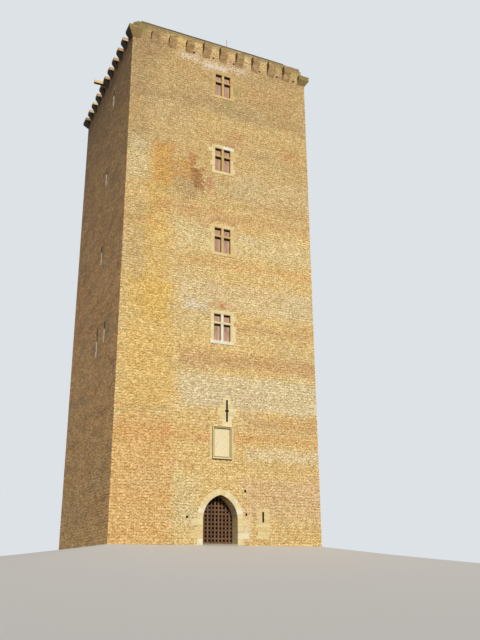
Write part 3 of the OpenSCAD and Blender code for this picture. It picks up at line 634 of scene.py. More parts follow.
def timber(name, shades, long_way, grain=0.02, roughness=0.75):
    """Sawn wood: noise in streaks, grain wide across and 25 times as long along the way given."""
    finish, tree, shader, place = new_finish(name, roughness)
    tone = add(tree, "Attribute", attribute_name="tone").outputs["Fac"]
    scale = [1 / (grain * (25 if axis == long_way else 1)) for axis in range(3)]
    shift = add(tree, "CombineXYZ", {0: tone, 1: tone, 2: tone})
    own = add(tree, "VectorMath", {0: shift, 1: (37.0, 37.0, 37.0)}, operation="MULTIPLY")
    fixed = add(tree, "VectorMath", {0: place, 1: own}, operation="ADD")
    streak = add(tree, "Mapping", {"Vector": fixed, "Scale": scale})
    fibre = add(tree, "TexNoise", {"Vector": streak, "Scale": 1.0, "Detail": 4.0, "Roughness": 0.6})
    pick = add(tree, "Math", {0: tone, 1: 0.22, 2: fibre}, operation="MULTIPLY_ADD")
    colour = add(tree, "ValToRGB", {0: pick}, stops=shades)
    colour = clouded(tree, colour, place, shades[0][1], (0.5, 0.5, 0.8), (0.5, 0.7), 0.35, 12.0)
    surfaced(tree, shader, colour, fibre, 0.35, 0.003, fibre, (roughness - 0.1, roughness + 0.15))
    return finish


UNCHANGED, DARK_FOOT, SHUTTER_HEAD_SHADOW = "#ffffff", "#6a5548", "#2a2019"
# Factors at heights over a sill: a painted shadow of the head and of the transom darkens the boards
# under them, and the foot is darker
SHADOW_BANDS = [
    (0.0, DARK_FOOT), (0.05, DARK_FOOT), (0.06, UNCHANGED), (transom_z - 0.11, UNCHANGED),
    (transom_z - 0.08, SHUTTER_HEAD_SHADOW), (transom_z + 0.08, SHUTTER_HEAD_SHADOW), (transom_z + 0.1, UNCHANGED),
    (window_h - 0.11, UNCHANGED), (window_h - 0.08, SHUTTER_HEAD_SHADOW), (window_h, SHUTTER_HEAD_SHADOW),
]


def painted_head_shadows(finish):
    """The top 0.08 m of each shutter under the head and the transom gets a painted shadow, and its foot is
    darker. The height over a sill, which repeats at each storey, goes through a ramp of factors."""
    tree, shader, under = shown(finish)
    above = add(tree, "Math", {0: along_axes(tree, "Object")[2], 1: first_sill}, operation="SUBTRACT")
    repeat = add(tree, "Math", {0: above, 1: storey_h}, operation="FLOORED_MODULO")
    share = add(tree, "Math", {0: repeat, 1: window_h}, operation="DIVIDE")
    shade = add(tree, "ValToRGB", {0: share}, stops=[(h / window_h, code) for h, code in SHADOW_BANDS])
    dark = add(tree, "Mix", {0: 1.0, 6: under, 7: shade}, data_type="RGBA", blend_type="MULTIPLY")
    plug(shader, {"Base Color": dark})


PINKISH = [(0.0, "#33261c"), (0.2, "#9a745c"), (0.45, "#bb9278"), (0.6, "#cca48a"), (0.85, "#ead2b4")]
TARRED = [(0.25, "#503622"), (0.5, "#6e4e33"), (0.75, "#8c6746")]
shutter_paint = timber("faded_painted_boards", PINKISH, long_way=2, grain=0.012)
painted_head_shadows(shutter_paint)
gate_upright_oak = timber("tarred_upright_oak", TARRED, long_way=2)
gate_crossbar_oak = timber("tarred_crossbar_oak", TARRED, long_way=0)
floor_oak = timber("sawn_floor_oak", [(0.25, "#5c4530"), (0.5, "#7d6145"), (0.75, "#9a7d5b")], long_way=0)
print("timber finishes: shutters, gate, floors")

# %% [markdown]
# ## Paint and iron
# The slender rod on the parapet is a painted steel tube, faded to a pale red. The bolt heads of the gate
# are forged iron under old tar, so they are dark, dull and a little rough from the hammer.

# %% Painted rod and forged iron
rod_paint, tree, shader, place = new_finish("faded_red_rod_paint", 0.5)
colour = add(tree, "RGB").outputs[0]
colour.default_value = linear("#c98f84")
plug(shader, {"Base Color": clouded(
    tree, colour, place, "#e4cfc4", (0.5, 0.5, 0.25), (0.45, 0.6), 0.8, 1.0)})

forged_iron, tree, shader, place = new_finish("tarred_forged_iron", 0.55)
plug(shader, {"Metallic": 0.8})
hammered = add(tree, "TexNoise", {"Vector": place, "Scale": 60.0, "Detail": 2.0})
colour = add(tree, "ValToRGB", {0: hammered}, stops=[(0.3, "#2b2622"), (0.7, "#5a473a")])
surfaced(tree, shader, colour, hammered, 0.4, 0.002)
print("paint and iron ready")

# %% [markdown]
# ## Give the CAD nodes their finishes
# A CAD node whose shape is right stays as it is and only gets its material.

# %% Finishes of the CAD nodes
WORN_BY = {
    walls: ["front_wall", "front_wall_left", "front_wall_right", "wall_over_door", "left_wall", "right_wall",
            "back_wall", "front_parapet", "back_parapet"],
    passage_shade_stone: ["passage_vault", "ground_floor"],
    side_brick: ["left_corbels", "right_corbels"],
    core_mortar: ["front_corbels", "back_corbels", "corner_corbels"],
    coping_stone: ["front_coping", "back_coping"],
    cream_stone: ["door_arch", "door_jambs", "arrow_slit_frame", "low_slit_frame", "left_slit_frames",
                  "right_slit_frames", "water_spout"],
    window_stone: ["front_window_frames", "back_window_frames"],
    moulded_stone: ["panel_frame"],
    slab_stone: ["panel_slab"],
    paving_stone: ["door_sill", "roof_terrace"],
    floor_oak: ["upper_floors"],
    shutter_paint: ["front_window_shutters", "back_window_shutters"],
    gate_upright_oak: ["portcullis"],
    rod_paint: ["roof_rod"],
}
for finish, names in WORN_BY.items():
    for name in names:
        mesh = nodes[name].data
        mesh.materials.clear()
        mesh.materials.append(finish)
dressed = {name for names in WORN_BY.values() for name in names}
print("nodes without a finish:", sorted(set(nodes) - dressed))

# %% [markdown]
# ## How a stone is made
# A dressed stone is an outline that the mason draws on its end and carries through the block. So a stone
# here is a closed outline carried along one axis. Where its bevels run out, it has its own outline at each
# station. Positions are given on the face of a wall: across it, into it and up. A Bevel modifier then takes
# off the sharp edges, as frost and hands did.

# %% A stone, and a wall's worth of stones
# For each face: its origin, the way across it and the way into it
ON_FACE = {
    "front": ((0, front_y, 0), (1, 0, 0), (0, 1, 0)),
    "back": ((0, back_y, 0), (-1, 0, 0), (0, -1, 0)),
    "left": ((-half_w, 0, 0), (0, -1, 0), (1, 0, 0)),
    "right": ((half_w, 0, 0), (0, -1, 0), (-1, 0, 0)),
}
COLUMNS = {"up": [0, 1, 2], "across": [2, 0, 1], "into": [1, 2, 0]}
BED = 0.0015
rng = np.random.default_rng(1372)


def ring_faces(n_rings, n):
    """Ring k of n points joins ring k + 1 by four-sided faces, and a flat face closes each end."""
    j = np.arange(n)
    after = (j + 1) % n
    k = np.arange(n_rings - 1)[:, None] * n
    sides = np.stack([k + j, k + after, k + n + after, k + n + j], axis=-1).reshape(-1, 4)
    return sides.tolist() + [j[::-1].tolist(), (j + n * (n_rings - 1)).tolist()]


def stone(way, stations, outlines, tone=None):
    """One stone: point j of ring k is outlines[k][j] at stations[k], or outlines[j] where one outline
    serves all stations. The two outline numbers are (across, into) for a stone carried up, (into, up) for
    one carried across, and (up, across) for one carried into the wall."""
    rings = np.array(outlines, float)
    if rings.ndim == 2:
        rings = np.repeat(rings[None], len(stations), axis=0)
    heights = np.array(stations, float)
    heights[0] += BED
    heights[-1] -= BED
    middle = rings[len(rings) // 2]
    ahead_of = np.roll(middle, -1, axis=0)
    if np.sum(middle[:, 0] * ahead_of[:, 1] - middle[:, 1] * ahead_of[:, 0]) < 0:
        rings = rings[:, ::-1]
    n_rings, n = rings.shape[:2]
    points = np.concatenate([rings, np.repeat(heights[:, None, None], n, axis=1)], axis=2).reshape(-1, 3)
    kept, where = np.unique(np.round(points[:, COLUMNS[way]], 5), axis=0, return_inverse=True)
    where = where.ravel().tolist()
    joined = [[where[i] for i in face] for face in ring_faces(n_rings, n)]
    joined = [[v for v, w in zip(face, face[1:] + face[:1]) if v != w] for face in joined]
    joined = [face for face in joined if len(set(face)) > 2]
    return kept, joined, rng.uniform(-1, 1) if tone is None else tone


def brick_block(a, b, tone=None):
    """A plain block between two corners on a face, each as (across, into, up)."""
    return stone("up", [a[2], b[2]], [(a[0], a[1]), (b[0], a[1]), (b[0], b[1]), (a[0], b[1])], tone)


def build(name, stones, face, finish, arris, body="keep", stands_for=()):
    """One piece from many stones, put on the face of a wall, with its sharp edges taken off by arris
    metres."""
    origin, across, into = (np.array(v, float) for v in ON_FACE[face])
    turn = np.array([across, into, [0.0, 0.0, 1.0]])
    mirrored = np.linalg.det(turn) < 0
    starts = np.cumsum([0] + [len(s[0]) for s in stones]).tolist()
    points = np.concatenate([s[0] for s in stones]) @ turn + origin
    faces = [[start + v for v in (loop[::-1] if mirrored else loop)]
             for start, s in zip(starts, stones) for loop in s[1]]
    piece = new_object(name, points, faces, finish)
    tones = np.concatenate([np.full(len(s[0]), s[2], np.float32) for s in stones])
    piece.data.attributes.new("tone", "FLOAT", "POINT").data.foreach_set("value", tones)
    if arris:
        edge = piece.modifiers.new("arris", "BEVEL")
        edge.width, edge.segments, edge.limit_method = arris, 1, "ANGLE"
        edge.angle_limit = math.radians(30)
    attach(piece, body)
    if stands_for:
        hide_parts(*stands_for)
    print(name, "has", len(stones), "stones and", len(faces), "faces")


# %% [markdown]
# ## Cross windows
# A cross window is a frame of loose stones: long and short ones tooth into the brick at each side, a lintel
# in one or two pieces lies on them, a sill with a nose throws the rain off, and a mullion and a transom
# divide the light in four. Every edge towards the light is bevelled, and the bevels meet in mitres.

# %% Stones of the cross windows
LINTEL_REACH, LINTEL_H, SILL_H = 0.29, 0.28, 0.26
SILL_PROUD, SILL_SLOPE, SILL_JOINT = 0.035, 0.02, 0.35
half_m = mullion_w / 2
# Heights at which the bevel of a jamb ends and starts again at the transom, and its depth there
BEVEL_Z = [0.0, transom_z, transom_z + bevel, transom_z + transom_h - bevel, transom_z + transom_h, window_h]
BEVEL_T = [bevel, bevel, 0.0, 0.0, bevel, bevel]
# The same along the head and the transom, from the left jamb to the right one
HEAD_X = [-window_half - bevel, -window_half, -half_m, -half_m + bevel, half_m - bevel, half_m, window_half,
          window_half + bevel]
HEAD_T = [0.0, bevel, bevel, 0.0, 0.0, bevel, bevel, 0.0]
# Tones from golden brown, -1, to white, 1: the lowest window was renewed last, the topmost is the most
# weathered. Each window: ranges of the left and right jambs, then the lintel, the sill, the mullion and the
# transom
TONES = {
    1: ((0.3, 0.5), (0.1, 0.45), (0.2, 0.4), (1.0, 0.7), 1.0, 0.4),
    2: ((-0.1, 0.2), (-0.3, 0.2), (0.0, 0.2), (0.0, -0.2), -0.4, -0.5),
    3: ((0.1, 0.4), (-0.4, 0.3), (0.1, 0.95), (0.35, 0.0), -0.7, -0.6),
    4: ((-0.9, -0.5), (-0.8, -0.3), (-0.8, -0.8), (-0.3, -0.4), -0.5, -0.7),
}
# How far the jamb stones reach, from the sill up. Where one stops short of its pocket in the wall, brick
# fills it.
SHORT, MIDDLE, LONG = 0.26, 0.42, 0.62
POCKET_STEPS = [0.0, 1.0, 0.4, 0.8]
REACHES = {
    (1, -1): [SHORT] * 5, (1, 1): [MIDDLE, LONG, MIDDLE, SHORT, MIDDLE],
    (2, -1): [SHORT, LONG, LONG, SHORT, MIDDLE], (2, 1): [MIDDLE, LONG, SHORT, MIDDLE, SHORT],
    (3, -1): [SHORT, MIDDLE, SHORT, SHORT, LONG], (3, 1): [MIDDLE, LONG, SHORT, MIDDLE, LONG],
    (4, -1): [SHORT, MIDDLE, SHORT, SHORT, SHORT], (4, 1): [MIDDLE, SHORT, LONG, SHORT, MIDDLE],
}
fillers = []


def sill_z(k):
    """Height of the sill of the window above floor k."""
    return first_sill + (k - 1) * storey_h


def window_stones(k):
    """The stones of the cross window above floor k. The bricks that fill the rest of their pockets are put
    in fillers."""
    x, z = window_x, sill_z(k)
    left_tones, right_tones, head_tones, sill_tones, mullion_tone, transom_tone = TONES[k]
    stones = []
    for side, shift, tones in ((-1, k, left_tones), (1, k + 2, right_tones)):
        row_h = window_h / len(REACHES[k, side])
        for i, reach in enumerate(REACHES[k, side]):
            pocket = SHORT + (LONG - SHORT) * POCKET_STEPS[(3 * i + shift) % 4]
            reach = min(reach, pocket)
            low, high = i * row_h, (i + 1) * row_h
            if pocket > reach:
                near, far = sorted([side * (window_half + reach), side * (window_half + pocket)])
                fillers.append(brick_block((x + near, 0, z + low), (x + far, frame_depth, z + high)))
            heights = [low] + [h for h in BEVEL_Z if low < h < high] + [high]
            outer, inner = window_half + reach, window_half
            outlines = [[
                (x + side * outer, 0), (x + side * (inner + bevel), 0), (x + side * (inner + bevel - t), t),
                (x + side * inner, t), (x + side * inner, frame_depth), (x + side * outer, frame_depth),
            ] for t in np.interp(heights, BEVEL_Z, BEVEL_T)]
            stones.append(stone("up", [z + h for h in heights], outlines, rng.uniform(*tones)))
    end = window_half + LINTEL_REACH
    cuts = [-end, end] if k in (1, 4) else [-end, 0.0, end]
    low, high = z + window_h, z + window_h + LINTEL_H
    for left, right, tone in zip(cuts, cuts[1:], head_tones):
        places = [left] + [h for h in HEAD_X if left < h < right] + [right]
        outlines = [[
            (0, high), (0, low + bevel), (t, low + bevel - t),
            (t, low), (frame_depth, low), (frame_depth, high),
        ] for t in np.interp(places, HEAD_X, HEAD_T)]
        stones.append(stone("across", [x + p for p in places], outlines, tone))
    low, high = z + transom_z, z + transom_z + transom_h
    outlines = [[
        (0, low + bevel), (t, low + bevel - t), (t, low), (bar_depth, low), (bar_depth, high), (t, high),
        (t, high - bevel + t), (0, high - bevel),
    ] for t in HEAD_T[1:-1]]
    stones.append(stone("across", [x + p for p in HEAD_X[1:-1]], outlines, transom_tone))
    bar = [(x - half_m, bar_depth), (x - half_m, bevel), (x - half_m + bevel, 0),
           (x + half_m - bevel, 0), (x + half_m, bevel), (x + half_m, bar_depth)]
    for foot, head in ((z, low), (high, z + window_h)):
        stones.append(stone("up", [foot, head], bar, mullion_tone))
    sill = [(frame_depth, z), (frame_depth, z - SILL_H), (bevel - SILL_PROUD, z - SILL_H),
            (-SILL_PROUD, z + bevel - SILL_H), (-SILL_PROUD, z - SILL_SLOPE), (0, z)]
    for left, right, tone in zip((-end, SILL_JOINT), (SILL_JOINT, end), sill_tones):
        stones.append(stone("across", [x + left, x + right], sill, tone))
    return stones


for face in ("front", "back"):
    fillers = []
    stones = [s for k in STOREYS for s in window_stones(k)]
    build(face + "_window_stones", stones, face, window_stone, 0.008,
          stands_for=[face + "_window_frames"])
    build(face + "_jamb_bricks", fillers, face, walls, 0.0)

# %% [markdown]
# ## Relieving arches
# Over the three lower windows low arches of brick on edge carry the wall, so that the lintels bear little.
# Each arch is a ring of wedges struck from one centre below the window's head. They stand 8 mm proud, as
# weather left them.

# %% Arches of brick over the windows
# For each window: height of the arch over the sill, half span, rise, ring and the tones of its bricks
RINGS = {
    1: [(2.24, 1.0, 0.38, 0.24, (0.3, 1.0))],
    2: [(2.20, 0.95, 0.26, 0.15, (-0.1, 0.5)), (2.38, 1.0, 0.30, 0.15, (0.2, 0.8))],
    3: [(2.20, 0.95, 0.16, 0.22, (-0.2, 0.6))],
}
WEDGE, WEDGE_JOINT, PROUD, TAIL = 0.1, 0.006, 0.008, 0.03


def arch_bricks(k):
    """Wedges of the arches over the window above floor k. For half span s and rise h the radius is
    (s * s + h * h) / (2 * h), and each wedge takes an even share of the angle."""
    bricks = []
    for foot, half, rise, ring, tones in RINGS.get(k, []):
        radius = (half * half + rise * rise) / (2 * rise)
        centre = sill_z(k) + foot + rise - radius
        reach = math.asin(half / radius)
        ends = np.linspace(-reach, reach, round(2 * reach * radius / WEDGE) + 1)
        gap = WEDGE_JOINT / radius
        for a, b in zip(ends + gap, ends[1:] - gap):
            outline = [(centre + r * math.cos(t), window_x + r * math.sin(t))
                       for r, t in ((radius, a), (radius, b), (radius + ring, b), (radius + ring, a))]
            bricks.append(stone("into", [-PROUD, TAIL], outline, rng.uniform(*tones)))
    return bricks


for face in ("front", "back"):
    bricks = [b for k in STOREYS for b in arch_bricks(k)]
    build(face + "_relieving_arches", bricks, face, arch_brick, 0.0)

# %% [markdown]
# ## Shutters
# Behind each light stands a shutter of upright boards about 100 mm wide. Near its right edge runs a narrow
# pale lath, and beyond it a dark board, a painted shade at the edge of the leaf. Boards are thin blocks
# with small arrises, so each joint shows as a fine V.

# %% Boards of the shutters
LEAF_T, GAP, BOARD_GAP = 0.05, 0.005, 0.001
BOARD_MARKS = np.array([0.0, 0.2, 0.4, 0.6, 0.8, 0.92, 1.0])
# The last board's dark tone is a painted shade at the leaf's right edge
BOARD_TONES = [-0.3, 0.1, -0.2, 0.15, 0.9, -1.2]


def shutter_boards(k):
    """The boards of the four leaves of the window above floor k, each set in by its own few millimetres."""
    x, z = window_x, sill_z(k)
    joint = z + transom_z + transom_h / 2
    boards = []
    for low, high in ((z, joint - GAP), (joint + GAP, z + window_h)):
        for left in (-window_half, GAP):
            width = window_half - GAP
            from_left = half_m if left > 0 else 0.0
            marks = from_left + (width - half_m) * BOARD_MARKS
            edges = x + left + np.concatenate([[0.0], marks[1:-1], [width]])
            for a, b, tone in zip(edges, edges[1:], BOARD_TONES):
                back = bar_depth + rng.uniform(0.001, 0.006)
                boards.append(brick_block(
                    (a + BOARD_GAP, back, low), (b - BOARD_GAP, bar_depth + LEAF_T, high),
                    tone + rng.uniform(-0.1, 0.1)))
    return boards


for face in ("front", "back"):
    boards = [b for k in STOREYS for b in shutter_boards(k)]
    build(face + "_shutter_boards", boards, face, shutter_paint, 0.004,
          stands_for=[face + "_window_shutters"])

# %% [markdown]
# ## The doorway
# The pointed arch is struck from two centres, each 0.37 m past the middle, so each side is a plain arc and
# every joint points at its centre. The stones are two deep, so that joints show in the reveal too. The
# jambs below are rows of long and short stones.

# %% Arch stones and jambs
ARCH_R = door_half + arch_shift
VOUSSOIRS, CHORDS = 7, 5
JAMB_ROWS, JAMB_TOOTH = 4, 0.4
# Depth at which the first stone of a row meets the second, for even and odd rows
ARCH_CUTS, JAMB_CUTS = (0.5, 0.36), (0.55, 0.4)


def arch_stones():
    """Each arch stone: its lower curve runs at radius R and its upper one at R + ring, both round the
    centre at 0.37 m past the middle, from one joint's angle to the next; the last joint is upright, at the
    crown."""
    stones = []
    for side in (-1, 1):
        for i in range(VOUSSOIRS):
            curves = []
            for r in (ARCH_R, ARCH_R + ring_t):
                joints = np.linspace(math.pi, math.acos(-arch_shift / r), VOUSSOIRS + 1)
                angles = np.linspace(joints[i] - BED / r, joints[i + 1] + BED / r, CHORDS)
                across = door_x - side * (arch_shift + r * np.cos(angles))
                curves.append(np.column_stack([spring_z + r * np.sin(angles), across]))
            outline = np.concatenate([curves[0], curves[1][::-1]])
            cut = ARCH_CUTS[i % 2]
            tone = rng.uniform(0.1, 0.8)
            for a, b in ((0.0, cut), (cut, gate_depth)):
                stones.append(stone("into", [a, b], outline, tone + rng.uniform(-0.2, 0.2)))
    return stones


def jamb_stones():
    """Rows of stones at both sides of the doorway, every other row reaching further into the brick."""
    stones = []
    row_h = spring_z / JAMB_ROWS
    for side in (-1, 1):
        for i in range(JAMB_ROWS):
            reach = ring_t + (i % 2) * JAMB_TOOTH
            near, far = sorted([door_x + side * door_half, door_x + side * (door_half + reach)])
            cut = JAMB_CUTS[i % 2]
            for a, b in ((0.0, cut), (cut, gate_depth)):
                stones.append(brick_block((near, a + BED, i * row_h), (far, b - BED, (i + 1) * row_h),
                                          rng.uniform(0.0, 0.8)))
    return stones


build("doorway_stones", arch_stones() + jamb_stones(), "front", cream_stone, 0.012,
      stands_for=["door_arch", "door_jambs"])

# %% [markdown]
# ## Slits
# A slit's surround is rows of stones 240 mm high that keep a gap of 130 mm between them, or 200 mm on the
# sides. A row that holds the end of the gap is two stones in the shape of an L, and the arrow slit's cross
# arm is notched into one row. On the sides the stones at the front of each slit took the colour of the
# brick. Those at its back are pale low down and black above, a painted shadow of the slit's head.

# %% Stones round the slits
FRONT_SLIT, SIDE_SLIT = 0.065, 0.1
SLIT_ROW, SLIT_DEPTH = 0.24, 0.3
ARROW_X, LOW_SLIT_X = 0.39, 2.93
# Tone of the stones that carry the painted shadow of a slit's head
SLIT_HEAD_SHADOW_TONE = -2.0


def toothed(even, odd, rows):
    """The reach of each row of stones, where even and odd rows take turns."""
    return [odd if i % 2 else even for i in range(rows)]


def slit_stones(half, centre, foot, lefts, rights, opened, arm=None, tones=((-0.2, 0.3), (-0.2, 0.3)),
                head_shadowed=False):
    """The stones of one slit that is open by half to each side. lefts and rights give each row's reach at
    the two sides, and the two heights of opened count from the foot. arm is (half width, low, high) of a
    cross arm, and tones are those of the stones at the left and at the right. When the last flag is set,
    the upper left stones, at the back of a side slit, are black, a painted shadow of the slit's head."""
    stones = []
    for i, reaches in enumerate(zip(lefts, rights)):
        low, high = i * SLIT_ROW + BED, (i + 1) * SLIT_ROW - BED
        if high < opened[0] or low > opened[1]:
            outline = [(foot + low, centre - reaches[0]), (foot + low, centre + reaches[1]),
                       (foot + high, centre + reaches[1]), (foot + high, centre - reaches[0])]
            stones.append(stone("into", [0, SLIT_DEPTH], outline, rng.uniform(*tones[1])))
            continue
        for side, reach, tone in zip((-1, 1), reaches, tones):
            inner = [(low, half)]
            if opened[0] > low:
                inner = [(low, BED), (opened[0], BED), (opened[0], half)]
            if arm and low < arm[1] < high:
                inner += [(arm[1], half), (arm[1], arm[0]), (arm[2], arm[0]), (arm[2], half)]
            if opened[1] < high:
                inner += [(opened[1], half), (opened[1], BED), (high, BED)]
            else:
                inner += [(high, half)]
            outline = [(foot + up, centre + side * out) for up, out in inner + [(high, reach), (low, reach)]]
            # Painted shadow of the head on the upper stones at the back
            in_head_shadow = head_shadowed and side < 0 and i > 0.5 * len(lefts)
            stones.append(stone("into", [0, SLIT_DEPTH], outline, SLIT_HEAD_SHADOW_TONE if in_head_shadow else rng.uniform(*tone)))
    return stones


arrow_reach = [0.35, 0.35, 0.48, 0.64, 0.64, 0.48, 0.28, 0.28]
arrow = slit_stones(FRONT_SLIT, ARROW_X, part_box("arrow_slit_frame")[0].z, arrow_reach, arrow_reach,
                    (0.3, 1.75), arm=(0.14, 0.97, 1.08), tones=((0.1, 0.6), (0.1, 0.6)))
build("arrow_slit_stones", arrow, "front", slit_stone, 0.008, stands_for=["arrow_slit_frame"])

low_slit = slit_stones(FRONT_SLIT, LOW_SLIT_X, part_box("low_slit_frame")[0].z, toothed(0.5, 0.38, 8),
                       toothed(0.38, 0.5, 8), (1.03, 1.69))
build("low_slit_stones", low_slit, "front", slit_stone, 0.008, stands_for=["low_slit_frame"])

# For each slit of a side: distance from the front corner, storey, rows of stones, drop below the window
# sills
SIDE_SLITS = [(3.4, 1, 8, 0.0), (5.35, 1, 11, 0.6), (5.45, 2, 8, 0.0), (5.4, 3, 8, 0.0), (4.55, 4, 8, 0.0)]
for face in ("left", "right"):
    stones = []
    for from_front, storey, rows, drop in SIDE_SLITS:
        stones += slit_stones(
            SIDE_SLIT, back_y - from_front, sill_z(storey) - drop - SLIT_ROW, toothed(0.32, 0.22, rows),
            toothed(0.22, 0.32, rows), (SLIT_ROW, (rows - 1) * SLIT_ROW), tones=((0.9, 1.0), (-1.1, -0.7)),
            head_shadowed=True)
    build(face + "_slit_stones", stones, face, cream_stone, 0.008,
          stands_for=[face + "_slit_frames"])

# %% [markdown]
# ## The corbelled crown
# The corbels are brick too. From the wall's face their fronts slant out over half a metre, and then they
# rise upright, 0.4 m proud. Two or three bricks make a course, with their joints broken, and each brick is
# its end outline carried along the wall. Behind the joints lies a core of mortar. Where top courses are
# lost, the core ends lower too, so that the head is ragged.

# %% Bricks of the corbels
CORBEL_FOOT, CORBEL_W, COURSE = 35.75, 0.6, 0.124
FOOT_OUT, HEAD_OUT, SLOPE_H = 0.02, 0.4, 0.5
SLOPE_TOP = CORBEL_FOOT + SLOPE_H
BRICK_GAP, CORE_IN, CORE_TONE = 0.003, 0.008, 0.6
# Tones of the slanted courses, which are pinkish, and of the upright ones, which are olive with lichen
LOW_TONES, HIGH_TONES = (0.2, 0.9), (-0.9, -0.1)
CUTS = [[0.0, 0.3, 0.6], [0.0, 0.15, 0.45, 0.6]]


def corbel_out(z, most=HEAD_OUT):
    """How far the corbel stands out at height z: evenly from 0.02 to 0.4 m over the first half metre, but
    never over the most that a broken head has left."""
    return min(float(np.interp(z - CORBEL_FOOT, [0, SLOPE_H], [FOOT_OUT, HEAD_OUT])), most)


def course_beds(low, high):
    """Heights of the beds between courses of about 0.124 m."""
    return np.linspace(low, high, round((high - low) / COURSE) + 1)


def own_tone(z):
    """A tone for a brick whose bed lies at height z."""
    return rng.uniform(*(LOW_TONES if z < SLOPE_TOP - 0.06 else HIGH_TONES))


def slanted_brick(start, end, a, b, tone=None, loss=0.0):
    """A brick from start to end across the wall and from a to b up it, with a front that follows the
    corbel."""
    outline = [(-corbel_out(a) + loss, a), (TAIL, a), (TAIL, b), (-corbel_out(b) + loss, b)]
    return stone("across", [start, end], outline, own_tone(a) if tone is None else tone)


def corbel_courses(left, head, lost=0.0):
    """Bricks and core of one straight corbel from left, up to the height head. A brick of the top courses
    is lost with the chance lost."""
    beds = course_beds(CORBEL_FOOT, head)
    core_head = beds[-2] if lost > 0.2 else head
    bricks = [slanted_brick(left + CORE_IN, left + CORBEL_W - CORE_IN, a, b, tone=CORE_TONE, loss=CORE_IN)
              for a, b in ((CORBEL_FOOT, SLOPE_TOP), (SLOPE_TOP, core_head - CORE_IN))]
    for c, (a, b) in enumerate(zip(beds, beds[1:])):
        for start, end in zip(CUTS[c % 2], CUTS[c % 2][1:]):
            if c > len(beds) - 4 and rng.uniform() < lost:
                continue
            bricks.append(slanted_brick(
                left + start + (BRICK_GAP if start else 0), left + end - (BRICK_GAP if end < CORBEL_W else 0),
                a + (BRICK_GAP if c else 0), b - BRICK_GAP, loss=rng.uniform(0, 0.006)))
    return bricks


def corner_courses(side, head, most=HEAD_OUT, darker=0.3):
    """Bricks and core of a corner corbel, which runs 0.6 m along both walls. side is -1 or 1 for the corner
    at the left or at the right of the face. Each ring of a brick's outline is set out by as much as the
    corbel stands out at its height. A number u counts outwards along the face from the corner, and v
    outwards from the face. The tones go down by darker, because moss grows best at the corners."""
    bricks, beds = [], course_beds(CORBEL_FOOT, head)

    def block(u0, u1, v0, v1, a, b, tone, inset):
        """u1 or v1 of None is the corbel's own front at the heights a and b."""
        outlines = []
        for z in (a, b):
            out = corbel_out(z, most) - inset
            far_u, far_v = out if u1 is None else u1, out if v1 is None else v1
            loop = ((u0, v0), (far_u, v0), (far_u, far_v), (u0, far_v))
            outlines.append([(side * (half_w + u), -v) for u, v in loop])
        bricks.append(stone("up", [a, b], outlines, tone))

    for a, b in ((CORBEL_FOOT, min(SLOPE_TOP, head)), (SLOPE_TOP, head - CORE_IN)):
        if b > a:
            block(-CORBEL_W + CORE_IN, None, -TAIL, None, a, b, CORE_TONE, CORE_IN)
            block(-TAIL, None, -CORBEL_W + CORE_IN, -TAIL, a, b, CORE_TONE, CORE_IN)
    for c, (a, b) in enumerate(zip(beds, beds[1:])):
        turn = 0.15 if c % 2 else 0.0
        low, high, inset = a + (BRICK_GAP if c else 0), b - BRICK_GAP, rng.uniform(0, 0.005)
        block(-turn, None, -TAIL, None, low, high, own_tone(a) - darker, inset)
        for near, far in ((turn, 0.3 + turn), (0.3 + turn, CORBEL_W)):
            start = -far + BRICK_GAP
            block(start, -near - BRICK_GAP, -TAIL, None, low, high, own_tone(a) - darker, inset)
            block(-TAIL, None, start, -max(near, TAIL) - BRICK_GAP, low, high, own_tone(a) - darker, inset)
    return bricks


FRONT_PITCH, SIDE_PITCH, SIDE_CORBELS = 1.38, 1.26, 9
SIDE_HEAD, FULL_HEAD, BROKEN_HEAD = 36.5, 36.87, 36.61
FRONT_HEADS = [SIDE_HEAD, BROKEN_HEAD, BROKEN_HEAD] + [FULL_HEAD] * 6
WORN_OUT = 0.3
LEFT_BEDS = course_beds(SIDE_HEAD, FULL_HEAD)
for face in ("front", "back"):
    bricks = []
    for i, head in enumerate(FRONT_HEADS, 1):
        bricks += corbel_courses(-half_w + FRONT_PITCH * i, head, lost=0.25 if i < 4 else 0.06)
    bricks += corner_courses(-1, SIDE_HEAD)
    bricks += corner_courses(1, SIDE_HEAD, WORN_OUT if face == "front" else HEAD_OUT, 0.8)
    bricks += [slanted_brick(-half_w + start, -half_w + end, a + BRICK_GAP, b - BRICK_GAP, loss=loss)
               for a, b in zip(LEFT_BEDS, LEFT_BEDS[1:])
               for start, end, loss in ((0.12, 0.3, 0.05), (0.31, 0.6, 0.0))]
    build(face + "_corbel_bricks", bricks, face, corbel_brick, 0.006,
          stands_for=[face + "_corbels", "corner_corbels"])
for face in ("left", "right"):
    bricks = []
    for i in range(1, SIDE_CORBELS + 1):
        bricks += corbel_courses(back_y - SIDE_PITCH * i - CORBEL_W, SIDE_HEAD, lost=0.1)
    build(face + "_corbel_bricks", bricks, face, side_brick, 0.006, stands_for=[face + "_corbels"])

# %% [markdown]
# Between and above the corbels the wall rises flush to a thin dark coping of separate stones. At its right
# end the coping has gone and the broken top of the brickwork lies open, and at both ends the last courses
# step down.

# %% Coping stones and the broken brickwork beside them
COPING_LEFT, COPING_RIGHT = -6.6, 5.35
COPING_LOW, COPING_HIGH = 37.25, 37.35
COPING_LIP, COPING_JOINT, PARAPET_T = 0.03, 0.004, 0.5
COPING_LENGTHS = (0.85, 1.35)
# Where bricks lie open: from, to, height of the bed, most height of a brick, places along it
OPEN_TOPS = [
    (5.4, 6.8, 37.25, 0.08, 6), (6.8, 6.95, 37.0, 0.12, 1), (6.95, 7.2, 36.75, 0.12, 1),
    (-6.9, -6.62, 37.25, 0.06, 1), (-7.05, -6.9, 37.0, 0.2, 1), (-7.2, -7.05, 37.0, 0.1, 1),
]


